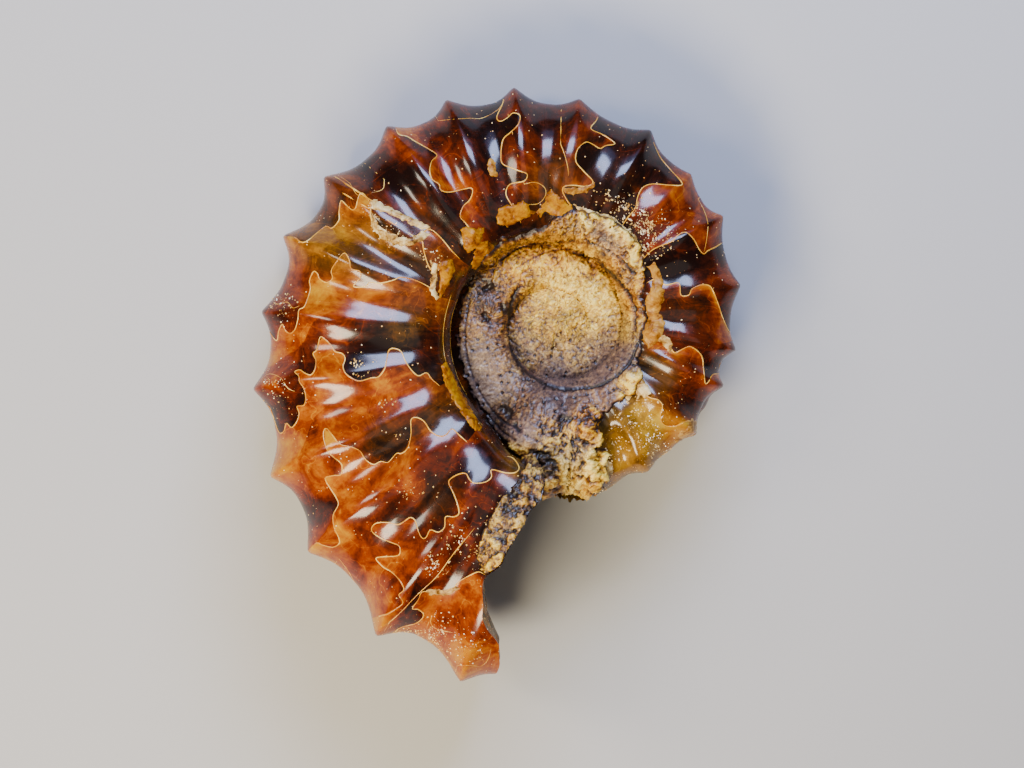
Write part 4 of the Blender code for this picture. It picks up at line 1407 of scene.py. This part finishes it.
# %% The flakes
FLAKES = (
    (0.0, (496, 220), (498, 211), (505, 207), (514, 207), (517, 204), (523, 203), (528, 205), (530, 211), (535, 214),
     (531, 219), (523, 222), (515, 227), (507, 230), (502, 228), (498, 226)),
    (0.0, (546, 194), (551, 192), (556, 196), (562, 201), (570, 207), (575, 213), (572, 220), (563, 222), (552, 219),
     (546, 214), (540, 219), (536, 217), (538, 211), (544, 205)),
    (1.0, (573, 207), (582, 208), (590, 212), (600, 214), (609, 217), (617, 222), (626, 230), (635, 238), (641, 247),
     (636, 252), (627, 245), (618, 236), (608, 227), (598, 222), (586, 218), (577, 213)),
    (0.0, (461, 232), (466, 228), (476, 230), (485, 229), (484, 238), (481, 246), (474, 252), (468, 256), (463, 248)),
    (0.0, (475, 252), (480, 244), (488, 242), (496, 248), (493, 257), (484, 262), (479, 270), (474, 276), (471, 266)),
    (0.0, (437, 268), (444, 261), (455, 261), (456, 272), (452, 284), (446, 294), (440, 303), (438, 290), (441, 280)),
    (0.1, (645, 268), (652, 263), (658, 270), (662, 282), (663, 300), (658, 312), (664, 322), (661, 335), (655, 344),
     (647, 349), (641, 344), (641, 330), (646, 318), (642, 305), (648, 290), (651, 280)),
    (0.6, (655, 339), (663, 334), (671, 341), (672, 350), (668, 354), (661, 347)),
    (0.0, (441, 366), (447, 362), (454, 372), (461, 389), (470, 405), (479, 420), (484, 432), (475, 430), (465, 418),
     (456, 404), (447, 388)),
    (0.1, (543, 445), (552, 446), (555, 458), (551, 470), (556, 480), (548, 477), (543, 465)),
    (0.1, (574, 483), (583, 478), (592, 480), (598, 487), (591, 495), (580, 495), (573, 490)),
    (0.1, (577, 413), (590, 415), (600, 421), (598, 431), (601, 441), (593, 441), (586, 429)),
    (1.0, (592, 457), (602, 455), (611, 461), (613, 471), (606, 480), (596, 477), (590, 467)),
    (0.4, (504, 431), (513, 428), (520, 434), (517, 443), (508, 445)),
    (0.8, (620, 396), (628, 388), (634, 376), (641, 378), (648, 386), (650, 394), (643, 398), (634, 394), (626, 401)),
    (0.2, (608, 264), (620, 261), (634, 268), (643, 279), (641, 290), (630, 281), (618, 273)),
    (0.5, (424, 586), (436, 584), (446, 586), (457, 581), (461, 585), (452, 592), (440, 593), (430, 591)),
    (0.1, (487, 164), (492, 160), (497, 168), (499, 180), (492, 181), (488, 176)),
    (0.4, (690, 418), (697, 420), (696, 428), (688, 437), (676, 446), (672, 441), (682, 430)),
    (0.1, (571, 190), (581, 188), (590, 186), (595, 183), (594, 190), (585, 196), (572, 198), (564, 196), (562, 190)),
    (0.7, (371, 203), (379, 203), (391, 209), (405, 216), (419, 222), (433, 229), (431, 234), (417, 229), (403, 223),
     (388, 216), (375, 213)),
    (0.9, (371, 212), (376, 216), (381, 226), (391, 234), (403, 239), (414, 239), (425, 233), (433, 236), (424, 244),
     (409, 249), (394, 247), (381, 240), (373, 229)),
    (0.9, (431, 262), (439, 266), (440, 277), (436, 290), (442, 299), (437, 303), (430, 292), (433, 278)),
)
FLAKE_STEP = 0.085 * MM
FLAKE_RISE = 0.13 * MM
FLAKE_RUN = 0.55 * MM
FLAKE_WAVES = ((0.20 * MM, 0.45 * MM), (0.10 * MM, 0.2 * MM))
WRINKLE_HEIGHT = 0.05 * MM
WRINKLE_SIZE = 0.5 * MM
FLAKE_SINK = 0.18 * MM
FLAKE_SINK_RUN = 0.2 * MM


def flake_height(place, depth, _):
    """A domed sheet with a wavy edge and a finely wrinkled top."""
    edge = wavy(place, depth, FLAKE_WAVES)
    dome = 1 - (1 - min(1.0, max(0.0, edge / FLAKE_RUN))) ** 2
    wrinkle = WRINKLE_HEIGHT * noise.fractal(place / WRINKLE_SIZE, 0.8, 2.0, 3)
    return dome * (FLAKE_RISE + wrinkle) - FLAKE_SINK * smooth(0.5 - edge / FLAKE_SINK_RUN)


def flake_paint():
    """Orange to cream, by each flake's own share of cream."""
    paint = Paint("orange_shell")
    tint = paint.math("ADD", paint.mottle(900, 5.0, 0.7, 0.5), 0.5)
    colour = paint.ramp(tint, ((0.34, (0.04, 0.008, 0.0001)), (0.44, (0.19, 0.052, 0.0001)),
                               (0.54, (0.34, 0.128, 0.0001)), (0.66, (0.46, 0.210, 0.0002)),
                               (0.80, (0.62, 0.38, 0.004))))
    cream = paint.ramp(tint, ((0.34, (0.08, 0.030, 0.005)), (0.44, (0.38, 0.21, 0.045)), (0.54, (0.68, 0.50, 0.19)),
                              (0.70, (0.90, 0.80, 0.50))))
    colour = paint.mix(paint.attribute("cream"), colour, cream)
    normal = paint.bump(paint.mottle(1900, 3.0, 0.6), 0.04 * MM, 0.7)
    paint.set(Base_Color=colour, Roughness=0.30, Metallic=0.0, IOR=1.5, Specular_IOR_Level=0.12, Normal=normal)
    return paint.material


orange_shell = flake_paint()
for side, name in ((1, "shell_flakes_upper"), (-1, "shell_flakes_lower")):
    skin, shares = Skin(), []
    for cream, *outline in FLAKES:
        laid_sheet(skin, outline, FLAKE_STEP, side, flake_height)
        shares += [cream] * (len(skin.corners) - len(shares))
    data = skin.mesh(name)
    store(data, "cream", shares)
    data.shade_smooth()
    print(name, "has", 2 * len(data.polygons), "triangles")
    piece(name, data, orange_shell)

# %% [markdown]
# ## Flecks and crystals
# Cream flecks float all over the calcite, and small crystals sit in clusters on knobs and in the crust. Hundreds of
# alike things on a surface are scattered by Geometry Nodes, more densely where an attribute of the surface says so.

# %% Where crystals cluster: x, y, reach and density in tenths
CLUSTERS = (
    (280, 385, 12, 6), (285, 308, 12, 6), (362, 366, 9, 9), (382, 408, 6, 9), (440, 565, 9, 10), (433, 558, 6, 9),
    (455, 532, 9, 7), (410, 487, 10, 8), (432, 632, 14, 10), (405, 637, 12, 9), (480, 550, 18, 6), (470, 642, 14, 5),
    (644, 226, 13, 24), (642, 248, 9, 20), (626, 212, 11, 18), (600, 204, 10, 10), (664, 238, 10, 10),
    (640, 430, 24, 8), (628, 400, 12, 10),
    (600, 462, 12, 10), (575, 450, 16, 5), (375, 215, 8, 8), (395, 240, 12, 6), (434, 262, 9, 6), (640, 255, 9, 10),
    (505, 555, 12, 8), (520, 500, 14, 6), (590, 480, 12, 8), (345, 452, 8, 5), (400, 432, 6, 4), (655, 445, 12, 6),
)
CLUMP = 0.6 * MM
CLUMP_SHARE = 0.35
CLUMP_CONTRAST = 2.2


def cluster_field(points):
    """How densely crystals lie at each point."""
    field = np.zeros(len(points))
    for x, y, reach, density in CLUSTERS:
        off = ((points - from_picture((x, y))) ** 2).sum(1) / (reach * PICTURE_STEP) ** 2
        field += density / 10 * np.exp(-off)
    clumps = np.array([noise.noise(Vector((x, y, 0.0)) / CLUMP) for x, y in points])
    return field * np.clip(CLUMP_SHARE + CLUMP_CONTRAST * clumps, 0.0, 1.0)


print("clusters:", len(CLUSTERS))

# %% The tree that scatters, and the two kinds that it scatters


def scatter_tree(name, solid):
    """Scatters a small solid over a surface, by the attribute "crowd", between two sizes."""
    tree = Tree(name, [("Density", "Float", 1e6), ("Smallest", "Float", 0.05 * MM), ("Largest", "Float", 0.2 * MM),
                       ("Flatness", "Float", 0.5), ("Seed", "Int", 7)])
    crowd = tree.node("GeometryNodeInputNamedAttribute", {"data_type": "FLOAT"}, Name="crowd").outputs[0]
    density = tree.math("MULTIPLY", crowd, tree.given("Density"))
    points = tree.node("GeometryNodeDistributePointsOnFaces", None, Mesh=tree.given("Geometry"), Density=density,
                       Seed=tree.given("Seed"))
    chance = tree.node("FunctionNodeRandomValue", {"data_type": "FLOAT"}, Seed=tree.given("Seed"))
    small = tree.math("POWER", chance.outputs[1], 2.5)
    size = tree.node("ShaderNodeMapRange", None, Value=small, To_Min=tree.given("Smallest"),
                     To_Max=tree.given("Largest")).outputs[0]
    height = tree.math("MULTIPLY", size, tree.given("Flatness"))
    stretch = tree.node("FunctionNodeRandomValue", {"data_type": "FLOAT"}, i2=0.5, i3=1.4,
                        Seed=tree.given("Seed")).outputs[1]
    wide = tree.math("MULTIPLY", size, stretch)
    scale = tree.node("ShaderNodeCombineXYZ", None, X=size, Y=wide, Z=height).outputs[0]
    spin = tree.node("FunctionNodeRandomValue", {"data_type": "FLOAT"}, i2=0.0, i3=TURN,
                     Seed=tree.given("Seed")).outputs[1]
    about = tree.node("ShaderNodeCombineXYZ", None, Z=spin).outputs[0]
    turned = tree.node("FunctionNodeRotateRotation", {"rotation_space": "LOCAL"}, Rotation=points.outputs[2],
                       Rotate_By=about).outputs[0]
    placed = tree.node("GeometryNodeInstanceOnPoints", None, Points=points.outputs[0], Instance=solid(tree),
                       Rotation=turned, Scale=scale).outputs[0]
    return tree, placed


def drop(tree):
    return tree.node("GeometryNodeMeshIcoSphere", None, Radius=1.0, Subdivisions=1).outputs[0]


def crystal(tree):
    """A six-sided stump of a crystal."""
    return tree.node("GeometryNodeMeshCone", {"fill_type": "NGON"}, Vertices=6, Side_Segments=1, Fill_Segments=1,
                     Radius_Top=0.35, Radius_Bottom=1.0, Depth=1.0).outputs[0]


def cream_grain_paint(name, stops, roughness):
    paint = Paint(name)
    colour = paint.ramp(paint.math("ADD", paint.mottle(900, 2.0, 0.5), 0.5), stops)
    paint.set(Base_Color=colour, Roughness=roughness, Metallic=0.0, IOR=1.55)
    return paint.material


fleck_cream = cream_grain_paint("fleck_cream", ((0.3, (0.45, 0.13, 0.015)), (0.5, (0.72, 0.38, 0.10)),
                                                (0.7, (0.90, 0.72, 0.40))), 0.3)
crystal_white = cream_grain_paint("crystal_white", ((0.3, (0.42, 0.18, 0.02)), (0.5, (0.76, 0.50, 0.16)),
                                                    (0.7, (0.88, 0.80, 0.62))), 0.15)


def scattered(name, source_data, crowd, solid, material, values):
    """One scatter over a copy of a mesh, as a finished piece."""
    data = source_data.copy()
    data.transform(TO_FLOOR.inverted())
    store(data, "crowd", crowd)
    source = bpy.data.objects.new(name + "_source", data)
    bpy.context.scene.collection.objects.link(source)
    tree, placed = scatter_tree(name, solid)
    tree.finish(placed, material)
    mesh = grown(source, tree, values)
    print(name, "has", sum(len(p.vertices) - 2 for p in mesh.polygons), "triangles")
    return piece(name, mesh, material)


coil_spots = spots[:, :2]
outside_crust = np.where(inside(np.array([from_picture(p) for p in CRUST_OUTLINE]), coil_spots), 0.0, 1.0)
crowd = cluster_field(coil_spots)
scattered("cream_flecks", body_mesh, outside_crust * (0.35 + 0.5 * crowd), drop, fleck_cream,
          {"Density": 2.0e6, "Smallest": 0.012 * MM, "Largest": 0.08 * MM, "Flatness": 0.2, "Seed": 7})
scattered("crystals", body_mesh, crowd, crystal, crystal_white,
          {"Density": 5.2e7, "Smallest": 0.02 * MM, "Largest": 0.10 * MM, "Flatness": 0.8, "Seed": 11})
